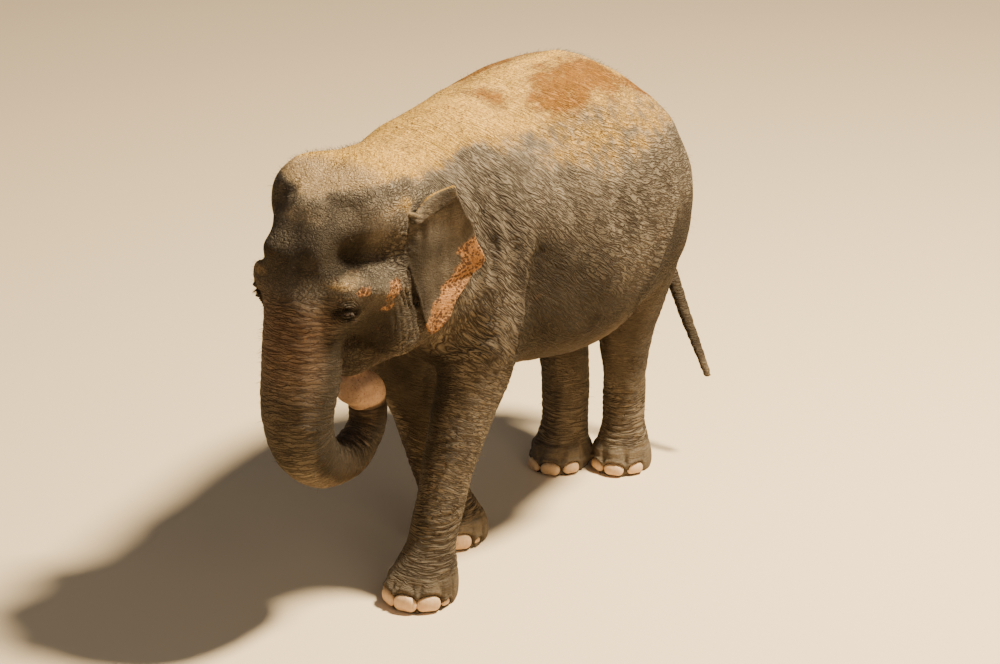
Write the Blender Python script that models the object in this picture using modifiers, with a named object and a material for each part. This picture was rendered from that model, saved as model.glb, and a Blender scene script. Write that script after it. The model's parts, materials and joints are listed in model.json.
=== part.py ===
"""A life-size asian elephant cow, standing in mid stride with its trunk curled to its mouth.

Metres, +Z up. The animal faces -Y, its left side is +X, and the floor is z = 0.
The flesh is modelled whole: lofts and ellipsoids are fused, shaped by broad strokes, and
parted into named pieces by thin cuts. Ears, eyes and toenails are pieces of their own.
"""

import math

import bpy
import numpy as np

# ---- driving dimensions -------------------------------------------------------------------
GAP = 0.0005            # width of every parting cut
VOXEL = 0.021           # fineness at which the masses are fused
FLESH_TRIANGLES = 2900  # what the fused flesh is thinned to
ANKLE_HEIGHT = 0.20     # where a leg is parted from its foot
KNEE_HEIGHT = 0.78      # where it is parted from the upper foreleg or the thigh
APART = 0.014           # daylight where the hind legs pass and where the trunk nears the chin
EYE_RADIUS = 0.0195

# torso: y, top, bottom, half width, height of the widest line
TORSO = [
    (-0.93, 2.12, 1.30, 0.28, 1.62),
    (-0.82, 2.175, 1.10, 0.40, 1.55),
    (-0.62, 2.22, 0.99, 0.49, 1.50),
    (-0.38, 2.23, 0.94, 0.555, 1.46),
    (-0.10, 2.235, 0.915, 0.61, 1.45),
    (0.18, 2.235, 0.905, 0.64, 1.44),
    (0.44, 2.195, 0.91, 0.625, 1.45),
    (0.66, 2.095, 0.96, 0.565, 1.48),
    (0.85, 1.95, 1.07, 0.465, 1.50),
    (1.00, 1.76, 1.20, 0.33, 1.51),
    (1.08, 1.61, 1.34, 0.18, 1.50),
]

# neck: y, top, bottom, half width, height of the widest line
NECK = [
    (-0.55, 2.19, 1.17, 0.39, 1.60),
    (-0.75, 2.215, 1.19, 0.39, 1.60),
    (-0.95, 2.17, 1.21, 0.375, 1.62),
    (-1.10, 2.185, 1.24, 0.360, 1.66),
    (-1.25, 2.19, 1.28, 0.330, 1.70),
]

# legs: height, x, y, half width, half length
LEFT_FORELEG = [
    (-0.08, 0.140, -0.992, 0.152, 0.168),
    (0.00, 0.140, -0.992, 0.152, 0.168),
    (0.07, 0.142, -0.988, 0.160, 0.178),
    (0.15, 0.146, -0.968, 0.145, 0.155),
    (0.26, 0.155, -0.930, 0.113, 0.120),
    (0.40, 0.168, -0.890, 0.112, 0.120),
    (0.54, 0.182, -0.855, 0.112, 0.122),
    (0.72, 0.200, -0.800, 0.126, 0.136),
    (0.90, 0.222, -0.735, 0.148, 0.160),
    (1.10, 0.255, -0.665, 0.175, 0.205),
    (1.32, 0.285, -0.610, 0.190, 0.250),
    (1.58, 0.290, -0.560, 0.170, 0.250),
    (1.85, 0.240, -0.520, 0.120, 0.190),
]
RIGHT_FORELEG = [
    (-0.08, -0.110, -0.361, 0.152, 0.168),
    (0.00, -0.110, -0.361, 0.152, 0.168),
    (0.07, -0.112, -0.363, 0.160, 0.178),
    (0.15, -0.118, -0.372, 0.145, 0.155),
    (0.26, -0.130, -0.400, 0.113, 0.120),
    (0.40, -0.150, -0.445, 0.112, 0.120),
    (0.54, -0.170, -0.485, 0.112, 0.122),
    (0.72, -0.195, -0.520, 0.126, 0.136),
    (0.90, -0.224, -0.562, 0.148, 0.172),
    (1.10, -0.258, -0.598, 0.175, 0.232),
    (1.32, -0.285, -0.580, 0.190, 0.250),
    (1.58, -0.290, -0.560, 0.170, 0.250),
    (1.85, -0.240, -0.520, 0.120, 0.190),
]
LEFT_HINDLEG = [
    (-0.08, 0.118, 0.806, 0.124, 0.154),
    (0.00, 0.118, 0.806, 0.124, 0.154),
    (0.06, 0.119, 0.804, 0.130, 0.161),
    (0.13, 0.120, 0.802, 0.119, 0.142),
    (0.24, 0.122, 0.796, 0.101, 0.112),
    (0.38, 0.128, 0.790, 0.097, 0.109),
    (0.54, 0.145, 0.770, 0.101, 0.120),
    (0.72, 0.170, 0.742, 0.119, 0.156),
    (0.92, 0.210, 0.725, 0.142, 0.198),
    (1.14, 0.250, 0.705, 0.178, 0.250),
    (1.40, 0.265, 0.675, 0.200, 0.272),
    (1.66, 0.245, 0.640, 0.180, 0.250),
    (1.90, 0.170, 0.560, 0.110, 0.180),
]
RIGHT_HINDLEG = [
    (-0.08, -0.145, 0.640, 0.124, 0.154),
    (0.00, -0.145, 0.640, 0.124, 0.154),
    (0.06, -0.145, 0.638, 0.130, 0.161),
    (0.13, -0.145, 0.650, 0.119, 0.142),
    (0.24, -0.146, 0.675, 0.106, 0.118),
    (0.38, -0.155, 0.695, 0.106, 0.120),
    (0.54, -0.170, 0.710, 0.110, 0.125),
    (0.72, -0.192, 0.715, 0.122, 0.148),
    (0.92, -0.220, 0.710, 0.142, 0.188),
    (1.14, -0.250, 0.690, 0.178, 0.250),
    (1.40, -0.265, 0.670, 0.200, 0.272),
    (1.66, -0.245, 0.640, 0.180, 0.250),
    (1.90, -0.170, 0.560, 0.110, 0.180),
]

# trunk: y, z, half width, half depth
TRUNK = [
    (-1.590, 1.760, 0.190, 0.175),
    (-1.640, 1.610, 0.188, 0.178),
    (-1.665, 1.450, 0.180, 0.175),
    (-1.688, 1.290, 0.174, 0.168),
    (-1.712, 1.130, 0.158, 0.157),
    (-1.675, 0.980, 0.142, 0.143),
    (-1.570, 0.865, 0.122, 0.124),
    (-1.430, 0.810, 0.104, 0.105),
    (-1.300, 0.820, 0.093, 0.093),
    (-1.210, 0.895, 0.087, 0.087),
    (-1.188, 0.990, 0.087, 0.085),
    (-1.212, 1.070, 0.092, 0.085),
    (-1.280, 1.104, 0.093, 0.082),
    (-1.350, 1.096, 0.074, 0.068),
]

# tail: x, y, z, half width, half depth
TAIL = [
    (0.000, 0.84, 1.82, 0.070, 0.062),
    (0.000, 0.98, 1.765, 0.066, 0.058),
    (0.018, 1.095, 1.60, 0.048, 0.050),
    (0.085, 1.135, 1.25, 0.036, 0.040),
    (0.165, 1.13, 0.98, 0.031, 0.034),
    (0.260, 1.13, 0.74, 0.028, 0.031),
    (0.345, 1.12, 0.57, 0.026, 0.029),
    (0.420, 1.11, 0.435, 0.021, 0.025),
]

# head: (x, y, z), (half sizes), forward tilt in degrees
MIDDLE_MASSES = [
    ((0.00, -1.17, 1.82), (0.345, 0.27, 0.355), 0),  # back of the skull
    ((0.00, -1.35, 1.975), (0.30, 0.26, 0.240), -8),  # crown
    ((0.00, -1.54, 1.86), (0.245, 0.20, 0.29), -14),  # forehead
    ((0.00, -1.46, 1.60), (0.235, 0.26, 0.17), 0),   # middle of the face
    ((0.00, -1.12, 1.400), (0.24, 0.28, 0.200), 0),  # throat
    ((0.00, -1.29, 1.312), (0.115, 0.15, 0.103), 10),  # chin
]
SIDE_MASSES = [
    ((0.150, -1.37, 1.995), (0.175, 0.22, 0.205), -10),  # crown dome
    ((0.195, -1.60, 1.725), (0.11, 0.13, 0.10), 0),   # brow
    ((0.220, -1.42, 1.68), (0.12, 0.25, 0.105), -14),  # cheek bone
    ((0.205, -1.275, 1.50), (0.14, 0.185, 0.22), 12),  # jaw muscle
    ((0.170, -1.580, 1.605), (0.085, 0.11, 0.10), 0),  # orbit
    ((0.165, -1.380, 1.575), (0.145, 0.15, 0.15), 0),   # cheek
]

# broad strokes on the fused flesh: centre, reach along x y z, push in metres
SIDE_STROKES = [
    ((0.30, -1.54, 1.815), (0.13, 0.16, 0.085), (-0.068, 0.015, 0.0)),   # temple hollow
    ((0.20, -1.68, 2.03), (0.14, 0.12, 0.045), (-0.010, 0.028, 0.0)),    # under the dome
    ((0.24, -1.56, 1.66), (0.05, 0.06, 0.035), (-0.016, 0.0, 0.0)),      # behind the eye
    ((0.27, -1.50, 1.48), (0.09, 0.11, 0.11), (-0.012, 0.0, 0.0)),       # behind the mouth
    ((0.45, -0.62, 1.78), (0.16, 0.16, 0.22), (0.030, -0.010, 0.0)),     # shoulder blade
    ((0.55, -0.28, 1.55), (0.15, 0.10, 0.40), (-0.020, 0.0, 0.0)),       # behind the shoulder
    ((0.42, 0.70, 1.88), (0.16, 0.16, 0.12), (0.024, 0.0, 0.014)),       # hip bone
    ((0.55, 0.60, 1.66), (0.12, 0.12, 0.20), (-0.018, 0.0, 0.0)),        # flank hollow
]
MIDDLE_STROKES = [
    ((0.0, -1.44, 2.20), (0.05, 0.22, 0.16), (0.0, 0.0, -0.022)),    # groove of the crown
    ((0.0, -1.74, 1.98), (0.12, 0.14, 0.10), (0.0, 0.024, 0.0)),     # dished forehead
    ((0.0, 0.20, 2.24), (0.07, 0.75, 0.10), (0.0, 0.0, 0.014)),      # ridge of the spine
    ((0.0, 0.88, 1.93), (0.06, 0.26, 0.14), (0.0, 0.010, 0.016)),    # root of the tail
    ((0.0, -0.05, 0.92), (0.16, 0.50, 0.12), (0.0, 0.0, -0.018)),    # belly keel
]

# left ear: distance back along the flap and height from the top of its root, from the
# top of the flap to its tip; first the front edge and then the free edge
EAR_ROOT = (0.325, -1.285, 1.965)
EAR_SPREAD = (20.0, 12.0)  # degrees that the left and right flaps stand off the body
EAR_DROP = (0.0, 0.055)    # how far the left and right roots are let down
EAR_FRONT = [(0.000, 0.010), (0.004, -0.130), (0.010, -0.256), (0.012, -0.345),
             (0.030, -0.430), (0.062, -0.515), (0.085, -0.556)]
EAR_FREE = [(0.175, 0.105), (0.262, -0.030), (0.325, -0.165), (0.362, -0.300),
            (0.285, -0.372), (0.185, -0.480), (0.115, -0.568)]
EAR_THICKNESS = (0.017, 0.009)
EAR_ROLL = (0.040, 0.022)  # breadth of the rim rolled forward, and its thickness off the flap

EYE_CENTRE = (0.223, -1.659, 1.626)

# toenails: turn from straight ahead in degrees, breadth, height; feet turn out alike
FORE_NAILS = [(-72, 0.080, 0.062), (-31, 0.104, 0.078), (8, 0.108, 0.082),
              (47, 0.106, 0.080), (84, 0.074, 0.058)]
HIND_NAILS = [(-68, 0.076, 0.054), (-27, 0.096, 0.062), (14, 0.102, 0.064),
              (58, 0.092, 0.062)]


MATERIALS = {  # colour, roughness
    "hide": ((0.235, 0.190, 0.150, 1), 0.85),
    "nail": ((0.640, 0.480, 0.380, 1), 0.55),
    "eye": ((0.050, 0.025, 0.012, 1), 0.12),
}


# ---- small builders -----------------------------------------------------------------------
def clear_scene():
    for obj in list(bpy.data.objects):
        bpy.data.objects.remove(obj, do_unlink=True)
    for collection in list(bpy.data.collections):
        bpy.data.collections.remove(collection)


def new_collection(name):
    collection = bpy.data.collections.new(name)
    bpy.context.scene.collection.children.link(collection)
    return collection


def rows_between(rows, count):
    """Rows of a smooth curve that passes through every station."""
    rows = np.array(rows, float)
    padded = np.vstack([2 * rows[0] - rows[1], rows, 2 * rows[-1] - rows[-2]])
    made = []
    for t in np.linspace(0, len(rows) - 1, count):
        i = min(int(t), len(rows) - 2)
        f = t - i
        a, b, c, d = padded[i:i + 4]
        made.append(0.5 * (2 * b + (c - a) * f + (2 * a - 5 * b + 4 * c - d) * f * f
                           + (3 * b - a - 3 * c + d) * f ** 3))
    return np.array(made)


def oval(count, power):
    """Points (cos, sin) of a superellipse; power 2 is an ellipse and more is squarer."""
    turn = np.linspace(0, 2 * math.pi, count, endpoint=False)
    c, s = np.cos(turn), np.sin(turn)
    return np.sign(c) * abs(c) ** (2 / power), np.sign(s) * abs(s) ** (2 / power)


def mesh_object(name, points, faces):
    mesh = bpy.data.meshes.new(name)
    mesh.from_pydata([tuple(p) for p in points], [], [tuple(f) for f in faces])
    mesh.update()
    obj = bpy.data.objects.new(name, mesh)
    bpy.context.scene.collection.objects.link(obj)
    return obj


def signed_volume(mesh):
    mesh.calc_loop_triangles()
    points = np.array([v.co for v in mesh.vertices])
    tri = points[np.array([t.vertices for t in mesh.loop_triangles])]
    return np.einsum("ij,ij->i", tri[:, 0], np.cross(tri[:, 1], tri[:, 2])).sum() / 6


def loft(name, rings):
    """A closed skin over rings of points, with a flat face at each end."""
    rings = np.array(rings)
    n, m = rings.shape[:2]
    faces = [(i * m + j, i * m + (j + 1) % m, (i + 1) * m + (j + 1) % m, (i + 1) * m + j)
             for i in range(n - 1) for j in range(m)]
    faces += [tuple(range(m))[::-1], tuple(range((n - 1) * m, n * m))]
    obj = mesh_object(name, rings.reshape(-1, 3), faces)
    if signed_volume(obj.data) < 0:
        obj.data.flip_normals()
    return obj


def upright_loft(name, rows, upper=1.9, count=48, sides=40):
    """Rings that stand across the body, with a top, a bottom and a widest line."""
    c, s = oval(sides, upper)
    c_low, s_low = oval(sides, 2.3)
    rings = []
    for y, top, bottom, half, wide in rows_between(rows, count):
        z = np.where(s > 0, wide + s * (top - wide), wide + s_low * (wide - bottom))
        rings.append(np.stack([np.where(s > 0, c, c_low) * half, np.full(sides, y), z], 1))
    return loft(name, rings)


def leg_loft(name, rows, count=60, sides=32):
    c, s = oval(sides, 2.2)
    return loft(name, [np.stack([x + c * a, y + s * b, np.full(sides, z)], 1)
                       for z, x, y, a, b in rows_between(rows, count)])


def path_loft(name, rows, count=90, sides=28):
    """Rings square to a bent path; rows are x, y, z, half width, half depth."""
    rows = rows_between(rows, count)
    path = rows[:, :3]
    along = np.gradient(path, axis=0)
    along /= np.linalg.norm(along, axis=1)[:, None]
    c, s = oval(sides, 2.0)
    rings = []
    for p, t, row in zip(path, along, rows):
        side = np.array([1.0, 0.0, 0.0]) - t * t[0]
        side /= np.linalg.norm(side)
        rings.append(p + np.outer(c * row[3], side) + np.outer(s * row[4], np.cross(t, side)))
    return loft(name, rings)


def ellipsoid(name, centre, half, tilt=0.0, turn=0.0, segments=32, rings=16):
    """An ellipsoid whose top leans forward by tilt and which is then turned about Z."""
    bpy.ops.mesh.primitive_uv_sphere_add(segments=segments, ring_count=rings)
    obj = bpy.context.object
    obj.name = name
    t, w = math.radians(tilt), math.radians(turn)
    lean = np.array([[1, 0, 0], [0, math.cos(t), -math.sin(t)], [0, math.sin(t), math.cos(t)]])
    spin = np.array([[math.cos(w), -math.sin(w), 0], [math.sin(w), math.cos(w), 0], [0, 0, 1]])
    points = np.array([v.co for v in obj.data.vertices]) * half
    set_points(obj, points @ (spin @ lean).T + centre)
    return obj


def points_of(obj):
    points = np.empty(len(obj.data.vertices) * 3)
    obj.data.vertices.foreach_get("co", points)
    return points.reshape(-1, 3)


def set_points(obj, points):
    obj.data.vertices.foreach_set("co", np.asarray(points, float).ravel())
    obj.data.update()


def normals_of(obj):
    normals = np.empty(len(obj.data.vertices) * 3)
    obj.data.vertices.foreach_get("normal", normals)
    return normals.reshape(-1, 3)


def apply_modifiers(obj):
    """Swaps the mesh for the one its modifiers make."""
    graph = bpy.context.evaluated_depsgraph_get()
    mesh = bpy.data.meshes.new_from_object(obj.evaluated_get(graph))
    obj.modifiers.clear()
    obj.data = mesh
    return obj


def join(objects, name):
    bpy.ops.object.select_all(action="DESELECT")
    for obj in objects:
        obj.select_set(True)
    bpy.context.view_layer.objects.active = objects[0]
    bpy.ops.object.join()
    objects[0].name = name
    return objects[0]


# ---- the flesh ----------------------------------------------------------------------------
def masses():
    made = [
        upright_loft("torso_mass", TORSO),
        upright_loft("neck_mass", NECK, 2.2),
        leg_loft("left_foreleg_mass", LEFT_FORELEG),
        leg_loft("right_foreleg_mass", RIGHT_FORELEG),
        leg_loft("left_hindleg_mass", LEFT_HINDLEG),
        leg_loft("right_hindleg_mass", RIGHT_HINDLEG),
        path_loft("trunk_mass", [(0.0,) + row for row in TRUNK]),
    ]
    for centre, half, tilt in MIDDLE_MASSES:
        made.append(ellipsoid("head_mass", centre, half, tilt))
    for side in (1, -1):
        for (x, y, z), half, tilt in SIDE_MASSES:
            made.append(ellipsoid("head_mass", (side * x, y, z), half, tilt))
    return made


def fuse(objects, voxel):
    body = join(objects, "flesh")
    remesh = body.modifiers.new("fuse", "REMESH")
    remesh.mode = "VOXEL"
    remesh.voxel_size = voxel
    return apply_modifiers(body)


def neighbours_mean(points, edges, count):
    total = np.zeros((count, 3))
    for k in range(3):
        total[:, k] = (np.bincount(edges[:, 0], points[edges[:, 1], k], count)
                       + np.bincount(edges[:, 1], points[edges[:, 0], k], count))
    share = np.bincount(edges.ravel(), minlength=count)
    return total / share[:, None]


def relax(obj, weight_of, rounds):
    """Evens out the creases where masses met, by a weight that depends on the place."""
    edges = np.empty(len(obj.data.edges) * 2, np.int32)
    obj.data.edges.foreach_get("vertices", edges)
    edges = edges.reshape(-1, 2)
    points = points_of(obj)
    weight = weight_of(points)[:, None]
    for _ in range(rounds):
        points = points + 0.6 * weight * (neighbours_mean(points, edges, len(points)) - points)
    set_points(obj, points)


def softness(points):
    """How freely a place is smoothed: the trunk and the lower legs hardly at all."""
    x, y, z = points.T
    body = np.clip((z - 0.75) / 0.5, 0, 1)
    trunk = np.clip((1.62 - z) / 0.2, 0, 1) * np.clip((-1.36 - y) / 0.12, 0, 1)
    low_trunk = (z < 1.20) & (y < -1.02)
    return np.where(low_trunk, 0.05, 0.06 + 0.94 * body * (1 - trunk))


def stroke(points, centre, reach, push):
    away = (((points - centre) / reach) ** 2).sum(1)
    return points + np.exp(-1.2 * away)[:, None] * np.array(push)


def shape_by_strokes(obj):
    points = points_of(obj)
    for centre, reach, push in MIDDLE_STROKES:
        points = stroke(points, centre, reach, push)
    for side in (1, -1):
        flip = np.array([side, 1, 1])
        for centre, reach, push in SIDE_STROKES:
            points = stroke(points, np.array(centre) * flip, reach, np.array(push) * flip)
    set_points(obj, points)


# ---- parting ------------------------------------------------------------------------------
def copy_of(obj, name):
    twin = bpy.data.objects.new(name, obj.data.copy())
    bpy.context.scene.collection.objects.link(twin)
    return twin


def cut(obj, cutter, operation):
    boolean = obj.modifiers.new("cut", "BOOLEAN")
    boolean.solver = "EXACT"
    boolean.operation = operation
    boolean.object = cutter
    return apply_modifiers(obj)


def grown(obj, name, amount):
    """A copy whose surface stands off by the amount."""
    twin = copy_of(obj, name)
    set_points(twin, points_of(obj) + normals_of(obj) * amount)
    return twin


def split(obj, name, region):
    """Parts what lies in the region from obj, leaving half the gap on either side."""
    inner = grown(region, name + "_keep", -GAP / 2)
    outer = grown(region, name + "_clear", GAP / 2)
    piece = cut(copy_of(obj, name), inner, "INTERSECT")
    cut(obj, outer, "DIFFERENCE")
    for made in (inner, outer, region):
        bpy.data.objects.remove(made, do_unlink=True)
    return piece


def wedge(low, high, rise=0.0, lean=0.0, level=0.0):
    """A box whose top rises toward the front and whose rear face leans about a level."""
    bpy.ops.mesh.primitive_cube_add(size=1)
    obj = bpy.context.object
    low, high = np.array(low), np.array(high)
    points = points_of(obj) * (high - low) + (high + low) / 2
    top, rear = points[:, 2] > high[2] - 1e-6, points[:, 1] > high[1] - 1e-6
    points[:, 2] += top * rise * (high[1] - points[:, 1])
    points[:, 1] += rear * lean * (points[:, 2] - level)
    set_points(obj, points)
    return obj


def loose_parts(obj):
    """The closed bodies of a mesh as objects of their own."""
    bpy.ops.object.select_all(action="DESELECT")
    obj.select_set(True)
    bpy.context.view_layer.objects.active = obj
    bpy.ops.mesh.separate(type="LOOSE")
    return list(bpy.context.selected_objects)


def without_scraps(obj):
    """Drops the slivers that a cut leaves where it only grazes the surface."""
    found = sorted(loose_parts(obj), key=lambda part: abs(signed_volume(part.data)))
    for scrap in found[:-1]:
        bpy.data.objects.remove(scrap, do_unlink=True)
    return found[-1]


def open_daylight(body):
    """Parts the hind legs from each other, and the end of the trunk from the chin."""
    for daylight in (wedge((-0.014 - APART / 2, 0.3, -1), (-0.014 + APART / 2, 1.3, 0.80)),
                     wedge((-0.2, -1.48, 1.200 - APART / 2), (0.2, -1.05, 1.200 + APART / 2))):
        cut(body, daylight, "DIFFERENCE")
        bpy.data.objects.remove(daylight, do_unlink=True)


def part_flesh(body):
    """Names the pieces of the fused flesh, from the legs up to the head."""
    pieces = {}
    low = split(body, "trunk_low", wedge((-0.4, -2.2, 0.65), (0.4, -1.02, 1.195)))
    for leg in loose_parts(split(body, "legs", wedge((-1, -1.18, -1), (1, 2, KNEE_HEIGHT)))):
        x, y, _ = points_of(leg).mean(axis=0)
        side, end = "left" if x > 0 else "right", "fore" if y < 0 else "hind"
        pieces[f"{end}leg_{side}"] = leg
        pieces[f"{end}foot_{side}"] = split(leg, "foot", wedge((-1, -2, -1), (1, 2, ANKLE_HEIGHT)))
    for side, name in ((1, "left"), (-1, "right")):
        for part, front, rear in (("upper_foreleg", -0.92, -0.40), ("thigh", 0.38, 1.4)):
            region = wedge((0.06, front, 0), (0.95, rear, 1.02))
            points = points_of(region)
            points[:, 2] += (points[:, 2] > 0.5) * 0.75 * (points[:, 0] - 0.06)
            points[:, 0] *= side
            set_points(region, points)
            if side < 0:
                region.data.flip_normals()
            pieces[f"{part}_{name}"] = split(body, "upper", region)
    head = split(body, "head", wedge((-1, -3, 0.45), (1, -1.135, 3), lean=0.14, level=1.7))
    pieces["neck"] = split(body, "neck", wedge((-1, -3, 0.95), (1, -0.80, 3), lean=0.28, level=1.6))
    pieces["trunk_base"] = split(head, "trunk_base",
                                 wedge((-0.20, -2.4, 1.0), (0.20, -1.50, 1.50), rise=0.28))
    pieces["trunk_bend"] = split(low, "trunk_bend", wedge((-0.4, -2.2, 0.3), (0.4, -0.7, 0.95)))
    pieces["trunk_upper"] = split(low, "trunk_upper", wedge((-0.4, -2.2, 0.8), (0.4, -1.48, 1.4)))
    pieces["trunk_tip"] = low
    pieces["lower_jaw"] = split(head, "lower_jaw",
                                wedge((-0.6, -1.8, 0.8), (0.6, -0.6, 1.49), rise=-0.12))
    pieces["head"] = head
    pieces["torso"] = body
    return {name: without_scraps(obj) for name, obj in pieces.items()}


# ---- ears, eyes, nails, tail ----------------------------------------------------------------
def ear(side):
    """A bent sheet: columns run back from the root, rows run down from the rolled rim."""
    columns, rows = 6, 9
    out = math.radians(EAR_SPREAD[0 if side > 0 else 1])
    root = np.array(EAR_ROOT) - (0, 0, EAR_DROP[0 if side > 0 else 1])
    back = np.array([math.sin(out), math.cos(out), 0.0])
    outward = np.array([math.cos(out), -math.sin(out), 0.0])
    front, free = rows_between(EAR_FRONT, rows), rows_between(EAR_FREE, rows)
    grid = np.zeros((rows + 3, columns, 3))
    for i in range(columns):
        u = i / (columns - 1)
        for j in range(rows):
            v = j / (rows - 1)
            s, h = front[j] * (1 - u) + free[j] * u
            bow = (-0.030 * math.sin(math.pi * u) * (1 - v) + 0.012 * math.sin(9 * v) * u
                   + 0.035 * u * u * (1 - v) ** 2 - 0.02 * v)
            grid[j + 3, i] = root + back * s + np.array([0, 0, h]) + outward * bow
        breadth = EAR_ROLL[0] * (0.35 + 0.65 * math.sin(math.pi * min(0.15 + u, 1) ** 1.1))
        for k, turn in enumerate((205, 130, 60)):
            t = math.radians(turn)
            lift = np.array([0, 0, 1]) * math.sin(t) * breadth * 0.45
            if turn > 180:
                lift = np.array([0, 0, -1]) * breadth * 0.75
            grid[k, i] = grid[3, i] + lift + outward * (1 - math.cos(t)) / 2 * EAR_ROLL[1] * 1.5
    n, m = grid.shape[:2]
    du, dv = np.gradient(grid, axis=1), np.gradient(grid, axis=0)
    normal = np.cross(du, dv)
    normal /= np.linalg.norm(normal, axis=2)[:, :, None]
    u = np.linspace(0, 1, m)[None, :, None]
    v = np.clip((np.arange(n) - 3) / (n - 4), 0, 1)[:, None, None]
    thick = EAR_THICKNESS[0] + (EAR_THICKNESS[1] - EAR_THICKNESS[0]) * np.maximum(u, v)
    sheet = np.concatenate([(grid + normal * thick / 2).reshape(-1, 3),
                            (grid - normal * thick / 2).reshape(-1, 3)])
    at = lambda j, i, k: k * n * m + j * m + i
    faces = []
    for j in range(n - 1):
        for i in range(m - 1):
            faces.append((at(j, i, 0), at(j, i + 1, 0), at(j + 1, i + 1, 0), at(j + 1, i, 0)))
            faces.append((at(j, i, 1), at(j + 1, i, 1), at(j + 1, i + 1, 1), at(j, i + 1, 1)))
    rim = ([(0, i) for i in range(m)] + [(j, m - 1) for j in range(1, n)]
           + [(n - 1, i) for i in range(m - 2, -1, -1)] + [(j, 0) for j in range(n - 2, 0, -1)])
    for (j, i), (q, p) in zip(rim, rim[1:] + rim[:1]):
        faces.append((at(j, i, 0), at(j, i, 1), at(q, p, 1), at(q, p, 0)))
    obj = mesh_object("ear_left" if side > 0 else "ear_right", sheet * (side, 1, 1), faces)
    if signed_volume(obj.data) < 0:
        obj.data.flip_normals()
    return obj


def add_ears(pieces):
    for side in (1, -1):
        flap = ear(side)
        for near in ("head", "neck", "lower_jaw"):
            shell = grown(pieces[near], "shell", GAP)
            cut(flap, shell, "DIFFERENCE")
            bpy.data.objects.remove(shell, do_unlink=True)
        pieces[flap.name] = flap


def add_eyes(pieces):
    for side, name in ((1, "eye_left"), (-1, "eye_right")):
        centre = np.array(EYE_CENTRE) * (side, 1, 1)
        ball = ellipsoid(name, centre, [EYE_RADIUS] * 3, segments=10, rings=6)
        socket = ellipsoid("socket", centre, [EYE_RADIUS + GAP] * 3, segments=10, rings=6)
        cut(pieces["head"], socket, "DIFFERENCE")
        bpy.data.objects.remove(socket, do_unlink=True)
        pieces[name] = ball


def add_nails(pieces):
    feet = (("forefoot_left", LEFT_FORELEG, FORE_NAILS),
            ("forefoot_right", RIGHT_FORELEG, FORE_NAILS),
            ("hindfoot_left", LEFT_HINDLEG, HIND_NAILS),
            ("hindfoot_right", RIGHT_HINDLEG, HIND_NAILS))
    for foot, rows, nails in feet:
        _, x, y, a, b = rows[1]
        for k, (turn, breadth, height) in enumerate(nails):
            t = math.radians(turn)
            reach = ((math.sin(t) / a) ** 2 + (math.cos(t) / b) ** 2) ** -0.5
            centre = np.array([x + math.sin(t) * (reach - 0.007),
                               y - math.cos(t) * (reach - 0.007), 0.004 + height * 0.60])
            half = np.array([breadth * 0.50, 0.031, height * 0.60])
            name = "nail_" + foot.replace("foot", "") + "_" + "abcde"[k]
            shape = {"tilt": 10, "turn": turn, "segments": 8, "rings": 4}
            nail = ellipsoid(name, centre, half, **shape)
            pocket = ellipsoid("pocket", centre, half + GAP * 1.2, **shape)
            cut(pieces[foot], pocket, "DIFFERENCE")
            bpy.data.objects.remove(pocket, do_unlink=True)
            pieces[name] = nail


def add_tail(pieces):
    tail = path_loft("tail", TAIL, count=14, sides=8)
    shell = grown(pieces["torso"], "shell", GAP)
    cut(tail, shell, "DIFFERENCE")
    bpy.data.objects.remove(shell, do_unlink=True)
    pieces["tail_tip"] = split(tail, "tail_tip", wedge((-1, 0.9, 0.2), (1, 2, 0.66)))
    pieces["tail"] = tail


def thin_to(obj, triangles):
    now = sum(len(p.vertices) - 2 for p in obj.data.polygons)
    decimate = obj.modifiers.new("thin", "DECIMATE")
    decimate.ratio = triangles / now
    return apply_modifiers(obj)


def paint(obj):
    """Each piece has a material of its own: hide, horn or eye."""
    kind = obj.name.split("_")[0]
    colour, roughness = MATERIALS.get(kind, MATERIALS["hide"])
    material = bpy.data.materials.new(obj.name)
    material.use_nodes = True
    shader = material.node_tree.nodes["Principled BSDF"]
    shader.inputs["Base Color"].default_value = colour
    shader.inputs["Roughness"].default_value = roughness
    shader.inputs["Metallic"].default_value = 0.0
    obj.data.materials.clear()
    obj.data.materials.append(material)
    for polygon in obj.data.polygons:
        polygon.use_smooth = kind in ("eye", "nail")


def centre_over_origin(pieces):
    """Moves the whole model so that its box is centred over the origin, on the floor."""
    every = np.concatenate([points_of(obj) for obj in pieces.values()])
    middle = (every.min(axis=0) + every.max(axis=0)) / 2
    middle[2] = every[:, 2].min()
    for obj in pieces.values():
        set_points(obj, points_of(obj) - middle)


# ---- the model ------------------------------------------------------------------------------
clear_scene()
parts = new_collection("asian_elephant")
flesh = fuse(masses(), VOXEL)
relax(flesh, softness, 26)
shape_by_strokes(flesh)
thin_to(flesh, FLESH_TRIANGLES)
floor = wedge((-3, -4, -1), (3, 4, 0))
cut(flesh, floor, "DIFFERENCE")
bpy.data.objects.remove(floor, do_unlink=True)
open_daylight(flesh)
pieces = part_flesh(flesh)
add_ears(pieces)
add_eyes(pieces)
add_nails(pieces)
add_tail(pieces)
centre_over_origin(pieces)
for name, obj in pieces.items():
    for collection in list(obj.users_collection):
        collection.objects.unlink(obj)
    parts.objects.link(obj)
    obj.name = obj.data.name = name
    paint(obj)
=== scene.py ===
# %% [markdown]
# # An asian elephant cow, life size
#
# The solids give the animal's form: torso, neck, head, trunk, legs, ears, eyes and toenails.
# This lesson dresses them. One skin is drawn over all the flesh, creased and folded as an
# elephant's is, and painted with dust, mud stains and the pink, freckled patches of an older
# cow, with painted shade in its hollows and creases and a painted highlight on the brow.
# Toenails, eyes and a thin coat of bristles are pieces of their own. Everything is in metres;
# she faces -Y and her left side is +X.

# %% Load the solids
import json
import math

import bpy
import numpy as np
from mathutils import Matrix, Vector
from mathutils.kdtree import KDTree

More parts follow.
